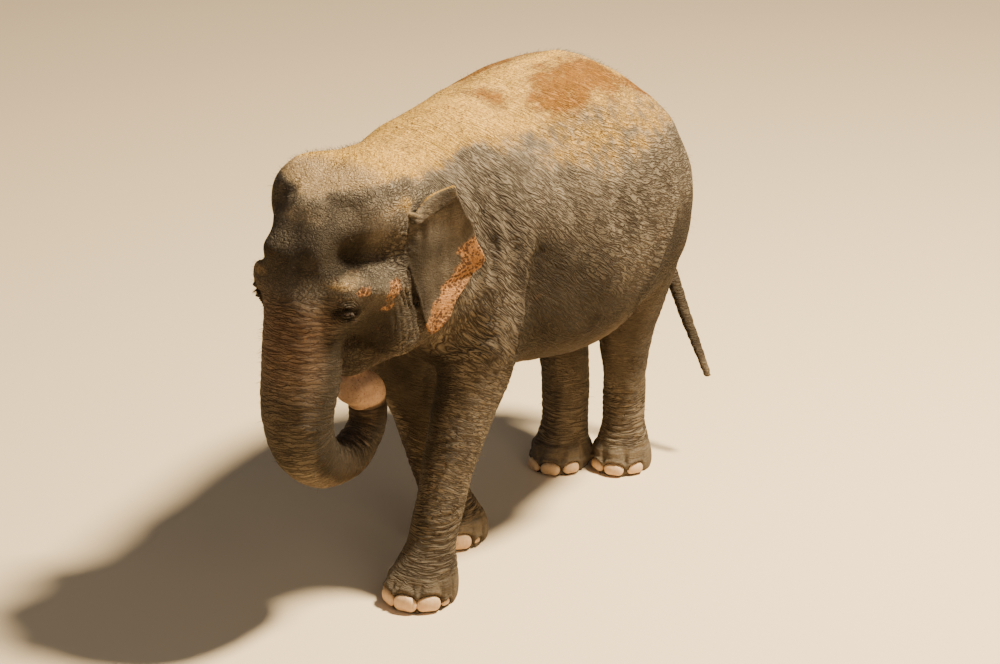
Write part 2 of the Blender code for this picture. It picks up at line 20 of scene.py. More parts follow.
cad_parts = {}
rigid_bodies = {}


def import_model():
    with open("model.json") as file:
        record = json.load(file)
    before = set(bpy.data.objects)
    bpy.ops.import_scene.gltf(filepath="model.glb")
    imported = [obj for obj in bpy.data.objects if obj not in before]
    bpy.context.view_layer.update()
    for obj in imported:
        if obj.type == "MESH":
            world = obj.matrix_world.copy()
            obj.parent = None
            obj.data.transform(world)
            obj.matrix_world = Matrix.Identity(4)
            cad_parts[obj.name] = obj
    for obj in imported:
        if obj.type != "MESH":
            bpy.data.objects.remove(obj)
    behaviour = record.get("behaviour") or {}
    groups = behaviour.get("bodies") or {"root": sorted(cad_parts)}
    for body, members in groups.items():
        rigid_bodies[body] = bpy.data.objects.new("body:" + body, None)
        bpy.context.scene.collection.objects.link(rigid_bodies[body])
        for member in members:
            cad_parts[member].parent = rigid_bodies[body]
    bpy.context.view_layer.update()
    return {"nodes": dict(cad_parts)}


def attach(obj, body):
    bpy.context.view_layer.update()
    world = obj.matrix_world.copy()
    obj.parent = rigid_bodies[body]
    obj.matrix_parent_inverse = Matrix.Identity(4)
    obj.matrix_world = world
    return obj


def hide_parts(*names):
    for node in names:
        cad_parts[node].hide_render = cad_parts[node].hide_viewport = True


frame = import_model()

# %% [markdown]
# ## Small tools
# Blender's operators act on whatever is selected, so a helper selects one object and nothing
# else. Moving thousands of points one by one is slow, so points travel to numpy and back as
# one array.

# %% Helpers for objects and points
def only(obj):
    bpy.ops.object.select_all(action="DESELECT")
    obj.select_set(True)
    bpy.context.view_layer.objects.active = obj


def edit_all(obj, operator, **settings):
    """Runs an edit mode operator on the whole mesh."""
    only(obj)
    bpy.ops.object.mode_set(mode="EDIT")
    bpy.ops.mesh.select_all(action="SELECT")
    operator(**settings)
    bpy.ops.object.mode_set(mode="OBJECT")


def face_outwards(obj):
    edit_all(obj, bpy.ops.mesh.normals_make_consistent, inside=False)


def apply(obj, kind, **settings):
    """Adds a modifier with these settings and applies it at once."""
    only(obj)
    modifier = obj.modifiers.new(kind.title(), kind)
    for name, value in settings.items():
        setattr(modifier, name, value)
    bpy.ops.object.modifier_apply(modifier=modifier.name)
    return obj


def read(items, name, width=1, kind=np.float32):
    """One attribute of many mesh elements as an array, with a row for each."""
    flat = np.empty(len(items) * width, kind)
    items.foreach_get(name, flat)
    return flat.reshape(-1, width) if width > 1 else flat


def points_of(obj):
    return read(obj.data.vertices, "co", 3).astype(float)


def normals_of(obj):
    return read(obj.data.vertices, "normal", 3).astype(float)


def set_points(obj, points):
    obj.data.vertices.foreach_set("co", points.astype(np.float32).ravel())
    obj.data.update()


def triangles(obj):
    return sum(len(polygon.vertices) - 2 for polygon in obj.data.polygons)

# %% [markdown]
# ## Noise
# Wrinkles and stains never repeat, so they come from smooth random noise: a random number
# at every corner of a grid, blended in between. `size` is how far apart the corners are,
# and it may differ along x, y and z, which stretches the pattern.

# %% Noise and soft shapes
def noise(points, size, seed=0):
    """Smooth random values from -1 to 1."""
    spot = points / np.asarray(size, float) + 31.7 * seed
    low = np.floor(spot).astype(np.int64)
    part = spot - low
    part = part * part * (3 - 2 * part)
    total = np.zeros(len(points))
    for corner in range(8):
        offset = np.array([corner & 1, corner >> 1 & 1, corner >> 2 & 1])
        cell = low + offset
        mixed = cell[:, 0] * 73856093 ^ cell[:, 1] * 19349663 ^ cell[:, 2] * 83492791
        mixed = (mixed ^ (mixed >> 13)) * 1274126177 & 0x7FFFFFFF
        mixed = (mixed ^ (mixed >> 15)) & 0xFFFF
        weight = np.prod(np.where(offset, part, 1 - part), axis=1)
        total += weight * (mixed / 32767.5 - 1)
    return total


def step(value, low, high):
    """0 below low, 1 above high, and a smooth ramp between; low may be the larger."""
    t = np.clip((value - low) / (high - low), 0, 1)
    return t * t * (3 - 2 * t)


def between(value, low, full, still, high):
    """1 from full to still, and 0 outside low and high."""
    return step(value, low, full) * step(value, high, still)


def bell(value, width):
    """1 at zero, fading on both sides."""
    return np.exp(-(value / width) ** 2)


def blob(points, centre, radii):
    """1 at the centre, fading all round."""
    return np.exp(-(((points - centre) / radii) ** 2).sum(1))


def unit(vectors):
    """The same directions at length one."""
    return vectors / np.linalg.norm(vectors, axis=-1, keepdims=True)


def mirrored(points):
    """The same points with the right half of the animal laid on the left half."""
    return np.abs(points * (1, 0, 0)) + points * (0, 1, 1)


print("noise at three places:", noise(np.array([[0, 0, 0], [1, 2, 3], [0.5, 0.1, 2]]), 0.4))

# %% [markdown]
# ## The body under the skin
# The flesh solids are cut apart by hairline gaps. Copies of them are puffed up by a
# millimetre, so that they touch, a Boolean union joins them, and a voxel remesh then wraps
# them in one closed surface of even squares. Toenails and eyes are sunk a little and go in
# too, which fills the pockets they sit in.

# %% Wrap the flesh in one surface
FLESH_CELL = 0.014
PUFF, NAIL_SINK, EYE_SINK = 0.0012, 0.007, 0.004
ears = ["ear_left", "ear_right"]
eyes = ["eye_left", "eye_right"]
nails = sorted(name for name in frame["nodes"] if name.startswith("nail_"))
flesh = sorted(set(frame["nodes"]) - set(ears) - set(eyes) - set(nails))


def copy_of(name, puff):
    """A loose copy of a solid, merged into one surface and moved out by puff."""
    twin = frame["nodes"][name].copy()
    twin.data = twin.data.copy()
    twin.parent = None
    for key in list(twin.keys()):
        del twin[key]
    bpy.context.scene.collection.objects.link(twin)
    edit_all(twin, bpy.ops.mesh.remove_doubles, threshold=0.00002)
    return apply(twin, "DISPLACE", strength=puff, mid_level=0)


skin = copy_of("torso", PUFF)
skin.name = skin.data.name = "skin"
skin.data.materials.clear()
others = bpy.data.collections.new("others")
for name in flesh + nails + eyes:
    if name != "torso":
        puff = -NAIL_SINK if name in nails else -EYE_SINK if name in eyes else PUFF
        others.objects.link(copy_of(name, puff))
apply(skin, "BOOLEAN", operation="UNION", solver="EXACT", operand_type="COLLECTION",
      collection=others)
for obj in list(others.objects):
    bpy.data.objects.remove(obj, do_unlink=True)
bpy.data.collections.remove(others)
print("joined flesh:", len(skin.data.vertices), "points")
apply(skin, "REMESH", mode="VOXEL", voxel_size=FLESH_CELL)
print("wrapped flesh:", len(skin.data.vertices), "points")

# %% [markdown]
# The solids are faceted, and a plain smooth would melt the facets but also shrink the legs
# and trunk. So each round of smoothing is followed by a slightly stronger round backwards,
# which puts the volume back and leaves only the sharp edges smoothed away.

# %% Melt the facets and keep the volume
def mean_of_neighbours(values, edges, share):
    one, two = edges.T
    total = np.stack([np.bincount(one, values[two, k], len(values))
                      + np.bincount(two, values[one, k], len(values)) for k in range(3)], 1)
    return total / share


def smooth(obj, rounds, forward=0.6, back=0.0, weight=1.0):
    edges, points = read(obj.data.edges, "vertices", 2, np.int32), points_of(obj)
    share = np.maximum(np.bincount(edges.ravel(), minlength=len(points)), 1)[:, None]
    weight = np.broadcast_to(np.asarray(weight, float).reshape(-1, 1), (len(points), 1))
    for _ in range(rounds):
        for amount in (forward, -back) if back else (forward,):
            shift = mean_of_neighbours(points, edges, share) - points
            points = points + amount * weight * shift
    set_points(obj, points)


smooth(skin, 110, 0.6, 0.622)
print("smoothed box:", points_of(skin).min(0).round(3), points_of(skin).max(0).round(3))

# %% [markdown]
# ## The ears
# An asian elephant's ear is a thin flap that hangs from a long root beside the neck. Its
# top rim is rolled forward, its free edge is wavy, and it narrows to a lower tip. It is a
# grid that is bent by a function: columns run back from the root and rows run down from the
# rolled rim. Solidify gives it thickness, and a Boolean union grows it into the head.

# %% Bend a grid into an ear
EAR_ROOT = (0.325, -0.937, 1.965)
EAR_SPREAD = (20.0, 12.0)  # degrees that the left and right flaps stand off the neck
EAR_DROP = (0.0, 0.055)
EAR_THICKNESS = 0.013
EAR_FRONT = [(0.0, 0.01), (0.004, -0.13), (0.01, -0.256), (0.012, -0.345),
             (0.03, -0.43), (0.062, -0.515), (0.085, -0.556)]
EAR_FREE = [(0.168, 0.112), (0.255, -0.03), (0.325, -0.165), (0.362, -0.3),
            (0.285, -0.372), (0.185, -0.48), (0.115, -0.568)]
EAR_COLUMNS, EAR_ROWS = 34, 48
ROOT_COLUMNS, RIM_ROWS = 3, 10


def along(stations, where):
    """A smooth curve through the stations, read at places from 0 to 1."""
    stations = np.array(stations, float)
    padded = np.vstack([2 * stations[0] - stations[1], stations, 2 * stations[-1] - stations[-2]])
    t = np.clip(np.asarray(where, float), 0, 1) * (len(stations) - 1)
    i = np.minimum(t.astype(int), len(stations) - 2)
    f = (t - i)[..., None]
    a, b, c, d = (padded[i + k] for k in range(4))
    return 0.5 * (2 * b + (c - a) * f + (2 * a - 5 * b + 4 * c - d) * f ** 2
                  + (3 * b - a - 3 * c + d) * f ** 3)


def ear_frame(side):
    k = int(side < 0)
    turn = math.radians(EAR_SPREAD[k])
    root = np.array(EAR_ROOT) - (0, 0, EAR_DROP[k])
    back = np.array([math.sin(turn), math.cos(turn), 0.0])
    outward = np.array([math.cos(turn), -math.sin(turn), 0.0])
    return root, back, outward


def make_ear(side):
    root, back, outward = ear_frame(side)
    bpy.ops.mesh.primitive_grid_add(x_subdivisions=EAR_COLUMNS - 1,
                                    y_subdivisions=EAR_ROWS + RIM_ROWS - 1, size=2)
    obj = bpy.context.object
    grid = points_of(obj)
    column = np.rint((grid[:, 0] + 1) / 2 * (EAR_COLUMNS - 1))
    row = np.rint((1 - grid[:, 1]) / 2 * (EAR_ROWS + RIM_ROWS - 1)) - RIM_ROWS
    u = np.clip((column - ROOT_COLUMNS) / (EAR_COLUMNS - 1 - ROOT_COLUMNS), 0, 1)
    v = np.clip(row / (EAR_ROWS - 1), 0, 1)
    flat = along(EAR_FRONT, v) * (1 - u)[:, None] + along(EAR_FREE, v) * u[:, None]
    bow = (-0.03 * np.sin(math.pi * u) * (1 - v) + 0.012 * np.sin(9 * v) * u
           + 0.035 * u * u * (1 - v) ** 2 - 0.02 * v)
    bow += 0.01 * np.sin(15 * v + 1.5) * u ** 2 + 0.006 * np.sin(26 * v + 3 * u) * u
    flat[:, 0] += 0.006 * np.sin(31 * v) * u ** 3
    place = (root + flat[:, :1] * back + flat[:, 1:] * np.array([0, 0, 1])
             + bow[:, None] * outward)
    # columns before the root dive into the head
    dive = np.clip((ROOT_COLUMNS - column) / ROOT_COLUMNS, 0, 1)[:, None]
    hung = step(v, 0.4, 0.56)[:, None]  # lower down the front edge hangs free, turned outwards
    place += dive * (1 - hung) * (-0.035 * outward - 0.03 * back)
    place += dive * hung * (0.004 * outward - 0.012 * back)
    place += (hung[:, 0] * 0.02 * bell(u, 0.16))[:, None] * outward
    # rows above the rim roll forward and down
    roll = np.clip(-row / RIM_ROWS, 0, 1)
    angle = np.minimum(roll / 0.45, 1) * math.radians(180)
    breadth = 0.03 + 0.034 * np.sin(math.pi * np.clip(0.1 + 0.85 * u, 0, 1))
    lift = 0.012 * np.sin(angle) - np.maximum(roll - 0.35, 0) / 0.65 * breadth
    place += lift[:, None] * np.array([0, 0, 1.0])
    place += ((1 - np.cos(angle)) / 2 * 0.028 + 0.012 * roll ** 2)[:, None] * outward
    set_points(obj, place * (side, 1, 1))
    face_outwards(obj)
    apply(obj, "SOLIDIFY", thickness=EAR_THICKNESS, offset=0, use_even_offset=False)
    face_outwards(obj)
    return obj


flap_points = []
for side in (1, -1):
    flap = make_ear(side)
    flap_points.append(points_of(flap))
    apply(skin, "BOOLEAN", operation="UNION", solver="MANIFOLD", object=flap)
    bpy.data.objects.remove(flap, do_unlink=True)
    print("with the ear:", len(skin.data.vertices), "points")

# %% Settle the seam where the ears grow out
place = points_of(skin)
seam = np.zeros(len(place))
for side in (1, -1):
    root, back, outward = ear_frame(side)
    away = (place * (side, 1, 1) - root) @ back
    below = root[2] - place[:, 2]
    seam = np.maximum(seam, step(np.abs(away - 0.02), 0.075, 0.03)
                      * (place[:, 0] * side > 0.15) * between(below, -0.05, 0.02, 0.56, 0.64))
smooth(skin, 8, 0.6, 0.0, seam)

# %% [markdown]
# ## Finer squares where the detail is
# Trunk, face, ears and feet are full of folds, a flank is not. The faces of those places are
# picked by where they lie and cut in four; around the eyes this is done twice. A light
# smoothing afterwards rounds the new points, which a plain cut leaves on flat squares.

# %% The trunk's centre line
TRUNK_LINE = [  # y, z and half the trunk's width, from the brow down, round and up to the tip
    (-1.242, 1.76, 0.19), (-1.292, 1.61, 0.188), (-1.317, 1.45, 0.18),
    (-1.34, 1.29, 0.174), (-1.364, 1.13, 0.158), (-1.327, 0.98, 0.142),
    (-1.222, 0.865, 0.122), (-1.082, 0.81, 0.104), (-0.952, 0.82, 0.093),
    (-0.862, 0.895, 0.087), (-0.84, 0.99, 0.087), (-0.864, 1.07, 0.092),
    (-0.932, 1.104, 0.093), (-1.002, 1.096, 0.074)]


def trunk_field(points):
    """How far down the trunk each point is, how far in front of its centre line, and how much
    it belongs to the trunk."""
    line = along(TRUNK_LINE, np.linspace(0, 1, 261))
    steps = np.linalg.norm(np.diff(line[:, :2], axis=0), axis=1)
    runs = np.concatenate([[0], np.cumsum(steps)])
    ahead = unit(np.gradient(line[:, :2], axis=0))
    front = np.column_stack([ahead[:, 1], -ahead[:, 0]])
    run, across, mask = np.zeros((3, len(points)))
    x, y, z = points.T
    pick = np.flatnonzero((y < -0.7) & (z < 1.86) & (z > 0.6) & (np.abs(x) < 0.34))
    for part in np.array_split(pick, max(1, len(pick) // 20000)):
        gap = points[part][:, None, 1:] - line[None, :, :2]
        reach = np.sqrt((gap ** 2).sum(2) + points[part, :1] ** 2) / line[None, :, 2]
        best = reach.argmin(1)
        every = np.arange(len(part))
        offset = gap[every, best]
        slide = (offset * ahead[best]).sum(1)
        run[part] = runs[best] + slide * ((best > 0) & (best < len(line) - 1))
        across[part] = (offset * front[best]).sum(1)
        mask[part] = step(reach[every, best], 1.42, 1.18)
    mask *= np.where(run < 0.6, step(z, 1.8, 1.58), 1)
    return run, across, mask


print("trunk points:", int((trunk_field(points_of(skin))[2] > 0.5).sum()))

# %% Cut the faces finer
def refine(obj, chosen):
    """Cuts every face whose points are all chosen in four."""
    only(obj)
    corners = read(obj.data.loops, "vertex_index", kind=np.int32)
    starts = read(obj.data.polygons, "loop_start", kind=np.int32)
    picked = np.minimum.reduceat(chosen[corners].astype(np.int32), starts).astype(bool)
    bpy.ops.object.mode_set(mode="EDIT")
    bpy.ops.mesh.select_mode(type="FACE")
    bpy.ops.mesh.select_all(action="DESELECT")
    bpy.ops.object.mode_set(mode="OBJECT")
    obj.data.polygons.foreach_set("select", picked)
    bpy.ops.object.mode_set(mode="EDIT")
    bpy.ops.mesh.subdivide(number_cuts=1)
    bpy.ops.mesh.select_mode(type="VERT")
    bpy.ops.object.mode_set(mode="OBJECT")
    print("refined to", len(obj.data.vertices), "points")


EYE = np.array([0.223, -1.311, 1.626])
place = points_of(skin)
face = (place[:, 1] < -0.86) & (place[:, 2] > 1.3) & (place[:, 2] < 2.1)
ear_zone = ((np.abs(place[:, 0]) > 0.26) & (place[:, 1] < -0.52) & (place[:, 2] > 1.35)
            & (place[:, 2] < 2.1))
refine(skin, (trunk_field(place)[2] > 0.02) | face | ear_zone | (place[:, 2] < 0.46))
for around_eye in (0.105, 0.052):
    refine(skin, np.linalg.norm(mirrored(points_of(skin)) - EYE, axis=1) < around_eye)
smooth(skin, 3, 0.5, 0.0)

# %% [markdown]
# ## Modelling the folds
# The folds that change the outline or throw a shadow are pushed into the mesh: each one is
# a path with a width and a depth, and every point moves along its own normal by an amount
# that depends on how far it is from the path. The head is the same on both sides, so its
# folds are measured on points laid over to the left half. The fine net of creases is left
# to the skin's bump, which costs no triangles.

# %% Grooves, ridges and hollows
def to_path(points, path):
    """Distance to a polyline, and how far along it the nearest place is."""
    path = np.array(path, float)
    lengths = np.linalg.norm(np.diff(path, axis=0), axis=1)
    best, run, done = np.full(len(points), 9.0), np.zeros(len(points)), 0.0
    for start, end, length in zip(path[:-1], path[1:], lengths):
        t = np.clip((points - start) @ (end - start) / length ** 2, 0, 1)
        away = np.linalg.norm(points - start - t[:, None] * (end - start), axis=1)
        run = np.where(away < best, (done + t * length) / lengths.sum(), run)
        best = np.minimum(best, away)
        done += length
    return best, run


def fold(points, path, width, depth, lips, wiggle=0.006):
    """A groove along a path, with its lips swollen; a negative depth makes a ridge."""
    push = np.zeros(len(points))
    path = np.array(path, float)
    pick = np.flatnonzero(((points > path.min(0) - 6 * width)
                           & (points < path.max(0) + 6 * width)).all(1))
    if len(pick) == 0:
        return push
    spot = points[pick]
    sway = np.column_stack([noise(spot, 0.05, seed) for seed in (3, 4, 5)])
    away, run = to_path(spot + wiggle * sway, along(path, np.linspace(0, 1, 18)))
    taper = between(run, 0, 0.2, 0.8, 1)
    push[pick] = taper * depth * (lips * bell(away - 2.1 * width, width) - bell(away, width))
    return push


def hollow(points, centre, radii, depth):
    """A soft dent; a negative depth makes a swelling."""
    return -depth * blob(points, centre, radii)


def waves(value, irregular=0.0):
    """Rounded ridges with narrow grooves: 1 on a ridge, 0 in a groove, one for every 1.0."""
    return np.sqrt(np.abs(np.sin(math.pi * (value + irregular))))


def raise_skin(push):
    set_points(skin, points_of(skin) + normals_of(skin) * push[:, None])

# %% The head's hollows and ridges
place = points_of(skin)
left = mirrored(place)
push = np.zeros(len(place))
for side, centre, radii, depth in (
        (left, (0.198, -1.262, 1.855), (0.085, 0.088, 0.086), 0.042),
        (left, (0.28, -1.04, 1.85), (0.09, 0.055, 0.08), -0.01),
        (left, (0.13, -1.365, 1.875), (0.065, 0.055, 0.065), -0.02),
        (place, (-0.13, -1.355, 1.87), (0.075, 0.06, 0.065), -0.028)):
    push += hollow(side, centre, radii, depth)
for path, width, depth, lips in (
        ([(0.11, -1.41, 1.815), (0.19, -1.36, 1.795), (0.25, -1.28, 1.75),
          (0.29, -1.2, 1.706), (0.318, -1.1, 1.69)], 0.03, -0.011, 0.3),
        ([(0.06, -1.25, 2.105), (0.11, -1.245, 2.088), (0.16, -1.225, 2.068),
          (0.215, -1.19, 2.045)], 0.03, 0.007, 0.2),
        ([(0.315, -0.88, 1.4), (0.3, -0.975, 1.375), (0.24, -1.035, 1.345),
          (0.15, -1.07, 1.32)], 0.022, -0.009, 0.0),
        ([(0.3, -0.88, 1.345), (0.275, -0.96, 1.315), (0.205, -1.01, 1.29),
          (0.11, -1.03, 1.275)], 0.02, 0.012, 0.0)):
    push += fold(left, path, width, depth, lips)
push += hollow(left, (0.265, -1.145, 1.56), (0.08, 0.075, 0.08), 0.012)
raise_skin(push)

# %% Folds in front of the ears and on the cheeks
left = mirrored(points_of(skin))
x, y, z = left.T
push = np.zeros(len(left))
for forward, depth, width in ((0.0, 0.013, 0.009), (-0.03, 0.009, 0.008),
                              (-0.062, 0.007, 0.008), (-0.092, 0.005, 0.008)):
    push += fold(left, [(0.335, -0.95 + forward, 2.0), (0.322, -0.962 + forward, 1.93),
                        (0.312, -0.975 + forward, 1.85), (0.31, -0.97 + forward, 1.77),
                        (0.322, -0.958 + forward, 1.69), (0.33, -0.945 + forward * 0.8, 1.6),
                        (0.33, -0.925 + forward * 0.6, 1.5)], width, depth, 0.7, 0.012)
cheek = (between(z, 1.36, 1.42, 1.58, 1.66) * between(y, -1.16, -1.06, -0.92, -0.86)
         * step(x, 0.2, 0.26))
push += fold(left, [(0.325, -0.965, 1.8), (0.325, -0.955, 1.7), (0.328, -0.945, 1.6),
                    (0.325, -0.925, 1.5), (0.315, -0.89, 1.43)], 0.016, 0.026, 0.0)
bent = (y + 0.25 * (z - 1.55)) / 0.026
push += 0.0045 * cheek * (waves(bent, 0.5 * noise(left, (0.05, 0.05, 0.11), 7)) - 1)
crow = (between(z, 1.74, 1.8, 1.98, 2.06) * between(y, -1.1, -1.02, -0.92, -0.86)
        * step(x, 0.2, 0.26))
push += 0.004 * crow * (waves(z / 0.024 + y * 9, 0.6 * noise(left, 0.06, 8)) - 1)
raise_skin(push)

# %% [markdown]
# ## Eyelids
# The opening is an almond in a small frame of its own: `fore` runs along the slit towards
# the back of the head, `rise` runs up across it and `out` points away from the skull. Inside
# the almond the skin dives behind the eyeball. Outside it the lids hug the ball, and folds
# ring the eye with a pouch below it.

# %% Open the eyelids
LID_OUT = np.array([0.82, -0.55, 0.02])
LID_FORE = np.array([0.44, 0.86, -0.22])
BALL = 0.0195


def eye_frame():
    out = LID_OUT / np.linalg.norm(LID_OUT)
    fore = LID_FORE - out * (LID_FORE @ out)
    fore /= np.linalg.norm(fore)
    return out, fore, np.cross(out, fore) * np.sign(np.cross(out, fore)[2])


def almond(fore, rise, length, upper, lower):
    """Distance outside an almond shape, negative inside."""
    bend = 1 - (fore / length) ** 2
    return np.maximum(rise - upper * bend, -lower * bend - rise)


place = points_of(skin)
left = mirrored(place)
out, fore, rise = eye_frame()
a, b, c = ((left - EYE) @ axis for axis in (fore, rise, out))
flat, off = np.column_stack([a, b]), np.hypot(a, b)
near = off < 0.13
ring = (off > 0.03) & (off < 0.045) & (c > -0.05)
print("skin round the eye lies at", c[ring].mean().round(4), "from its centre")
gap = almond(a, b, 0.03, 0.0105, 0.0115)
dome = np.sqrt(np.maximum((BALL + 0.0045) ** 2 - (0.62 * a) ** 2 - b ** 2, 0))
blend_in = step(np.hypot(0.75 * a, b), 0.036, 0.014)
target = c * (1 - blend_in) + np.maximum(dome, 0.006) * blend_in
target += 0.0035 * bell(gap - 0.0035, 0.0035) * near
dive = step(gap, 0.0008, -0.003)
target = target * (1 - dive) + (-0.002) * dive
for reach, depth, width in ((0.012, 0.006, 0.0024), (0.021, 0.0055, 0.0028),
                            (0.031, 0.0048, 0.0034), (0.043, 0.0038, 0.0042),
                            (0.057, 0.0026, 0.0052)):
    wavy = gap + 0.002 * noise(left, 0.02, 11)
    target -= depth * near * (bell(wavy - reach, width)
                              - 0.6 * bell(wavy - reach - 0.005, 0.004))
target += 0.01 * near * blob(flat, (0.004, -0.034), (0.034, 0.014))
target += 0.012 * near * blob(flat, (-0.004, 0.034), (0.042, 0.013))
fade = near * (c > -0.04) * step(off, 0.125, 0.085)
left = left + out * ((target - c) * fade)[:, None]
set_points(skin, np.where(place[:, :1] < 0, left * (-1, 1, 1), left))
print("eyelids moved", int((fade > 0).sum()), "points")

# %% [markdown]
# ## Trunk, neck, flanks and feet
# The trunk's rings follow how far a point lies down the trunk, so they stay square to it as
# it curls. Rings on the lower legs follow height. The longer folds of neck, shoulder, flank
# and groin are paths again.

# %% Rings of the trunk and the legs
place = points_of(skin)
x, y, z = place.T
run, across, on_trunk = trunk_field(place)
near_tip = step(run, 1.54, 1.46)
inner = step(across, -0.01, -0.07)
sway = 0.5 * noise(place, (0.1, 0.1, 0.1), 21)
push = 0.003 * on_trunk * near_tip * (waves(run / 0.046, sway) - 1) * (1 + 1.3 * inner)
push += 0.0025 * on_trunk * near_tip * noise(place, (0.12, 0.12, 0.06), 22)
push += on_trunk * (0.004 * bell(run - 1.59, 0.05) - 0.01 * bell(run - 1.49, 0.022))
bend_fold = inner * on_trunk * between(run, 0.7, 0.82, 1.36, 1.48)
push += 0.01 * bend_fold * (waves(run / 0.062, 0.5 * sway) - 1)
low = between(z, 0.1, 0.15, 0.42, 0.52) * (1 - on_trunk) * step(noise(place, 0.16, 24), -0.6, 0.3)
push += 0.01 * low * (waves(z / 0.033, 0.7 * noise(place, (0.1, 0.1, 0.05), 23)) - 1)
high = between(z, 0.42, 0.5, 1.05, 1.22) * (1 - on_trunk)
push += 0.005 * high * (waves(z / 0.048 + y * 10,
                               0.9 * noise(place, (0.12, 0.12, 0.05), 25)) - 1)
push += 0.003 * noise(place, 0.11, 26) * (1 - on_trunk) + 0.0045 * noise(place, 0.25, 27)
raise_skin(push)

# %% Long folds
place = points_of(skin)
push = np.zeros(len(place))
left = mirrored(place)
for path, width, depth in (
        ([(0.3, -0.64, 2.06), (0.375, -0.6, 1.9), (0.392, -0.56, 1.7),
          (0.37, -0.56, 1.5)], 0.02, 0.012),
        ([(0.3, -0.54, 2.06), (0.375, -0.49, 1.88), (0.41, -0.46, 1.68),
          (0.39, -0.47, 1.48)], 0.022, 0.012),
        ([(0.33, -0.4, 2.04), (0.42, -0.37, 1.86), (0.455, -0.36, 1.65),
          (0.44, -0.38, 1.48)], 0.024, 0.01),
        ([(0.37, -0.25, 2.02), (0.455, -0.23, 1.83), (0.49, -0.22, 1.62),
          (0.485, -0.24, 1.45)], 0.026, 0.008),
        ([(0.52, -0.235, 1.74), (0.5, -0.262, 1.62), (0.486, -0.285, 1.48),
          (0.475, -0.295, 1.35), (0.455, -0.31, 1.2), (0.43, -0.3, 1.08),
          (0.4, -0.28, 0.96)], 0.014, 0.02),
        ([(0.57, 0.03, 1.7), (0.58, 0.04, 1.5), (0.56, 0.04, 1.3)], 0.022, 0.007),
        ([(0.615, 0.19, 1.62), (0.62, 0.2, 1.45), (0.59, 0.2, 1.25),
          (0.5, 0.2, 1.06)], 0.009, 0.009),
        ([(0.625, 0.33, 1.52), (0.62, 0.335, 1.38), (0.58, 0.335, 1.2)], 0.009, 0.005),
        ([(0.56, 0.86, 1.62), (0.629, 0.735, 1.43), (0.614, 0.595, 1.27),
          (0.542, 0.53, 1.123), (0.44, 0.5, 1.04)], 0.018, 0.016),
        ([(0.56, 0.7, 1.26), (0.51, 0.64, 1.14), (0.44, 0.62, 1.04)], 0.022, 0.012),
        ([(0.24, -0.54, 1.33), (0.33, -0.54, 1.29), (0.42, -0.42, 1.27)], 0.018, 0.008),
        ([(0.18, -0.56, 1.2), (0.3, -0.56, 1.17), (0.4, -0.44, 1.15)], 0.016, 0.007)):
    push += fold(left, path, width, depth, 0.45, 0.016)
for side, centre, radii, depth in (
        (left, (0.56, 0.8, 1.22), (0.12, 0.13, 0.18), 0.024),
        (left, (0.46, -0.42, 1.35), (0.12, 0.09, 0.26), -0.016),
        (left, (0.38, 0.3, 1.05), (0.24, 0.34, 0.16), -0.045),
        (place, (0.0, -1.06, 1.34), (0.1, 0.09, 0.07), -0.02),
        (place, (0.0, -1.0, 1.25), (0.12, 0.14, 0.045), -0.045),
        (place, (-0.06, 1.03, 0.42), (0.08, 0.14, 0.36), -0.022),
        (place, (0.44, 1.13, 0.45), (0.12, 0.12, 0.2), 0.02),
        (place, (-0.27, -0.4, 0.86), (0.12, 0.1, 0.16), -0.028)):
    push += hollow(side, centre, radii, depth)


def behind_flank(points):
    """How far a point lies behind the edge where the flank hangs over the thigh."""
    return points[:, 1] - np.interp(points[:, 2], (1.0, 1.12, 1.27, 1.41, 1.6),
                                    (0.48, 0.505, 0.568, 0.71, 0.86))


def behind_elbow(points):
    """How far a point lies behind the rear edge of the upper foreleg."""
    return points[:, 1] - np.interp(points[:, 2], (1.08, 1.2, 1.42, 1.66, 1.76),
                                    (-0.3, -0.305, -0.29, -0.255, -0.23))


def sunk(late, border, length):
    """1 just behind an edge, from which the hide sinks in, fading over a length."""
    return step(late, *border) * bell(np.maximum(late, 0), length)


x, y, z = left.T
late = behind_elbow(left) + 0.012 * noise(left, 0.08, 32)
push -= (0.036 * sunk(late, (-0.004, 0.026), 0.2) * between(z, 0.92, 1.05, 1.52, 1.78)
         * step(x, 0.25, 0.38))
late = behind_flank(left) + 0.012 * noise(left, 0.08, 31)
push -= (0.045 * sunk(late, (0.0, 0.035), 0.26) * between(z, 0.92, 1.08, 1.45, 1.66)
         * step(x, 0.25, 0.38))
raise_skin(push)
print("long folds move the skin by up to", np.abs(push).max().round(3))

# %% Toes and the groove round every nail
def merged_points(name):
    return np.unique(points_of(frame["nodes"][name]).round(5), axis=0)


def nail_frame(name):
    """Centre, outward axis, across axis, up axis and half sizes of a nail's solid."""
    shell = merged_points(name)
    centre = shell.mean(0)
    axes = np.linalg.svd(shell - centre, full_matrices=False)[2]
    up = axes[np.abs(axes[:, 2]).argmax()]
    up = up * np.sign(up[2])
    foot = np.mean([merged_points(other).mean(0) for other in nails
                    if other[:-2] == name[:-2]], 0)
    flat = [axis for axis in axes if abs(axis @ up) < 0.5]
    out = min(flat, key=lambda axis: np.abs((shell - centre) @ axis).max())
    ahead = (0, -0.09 * ("hind" in name) - 0.05, 0)
    out = out * np.sign(out @ ((centre - foot) * (1, 1, 0) + ahead))
    side = np.cross(up, out)
    reach = np.array([np.abs((shell - centre) @ axis).max() for axis in (out, side, up)])
    if name.endswith("_e"):  # the outermost nail of a forefoot is worn small
        reach, centre = reach * 0.72, centre - out * 0.008 - up * 0.006
    centre = centre - up * 0.09 * reach[2]
    reach = reach * (0.9, 1.05 - 0.1 * ("hind" in name), 0.86)
    return centre, np.array([out, side, up]), reach


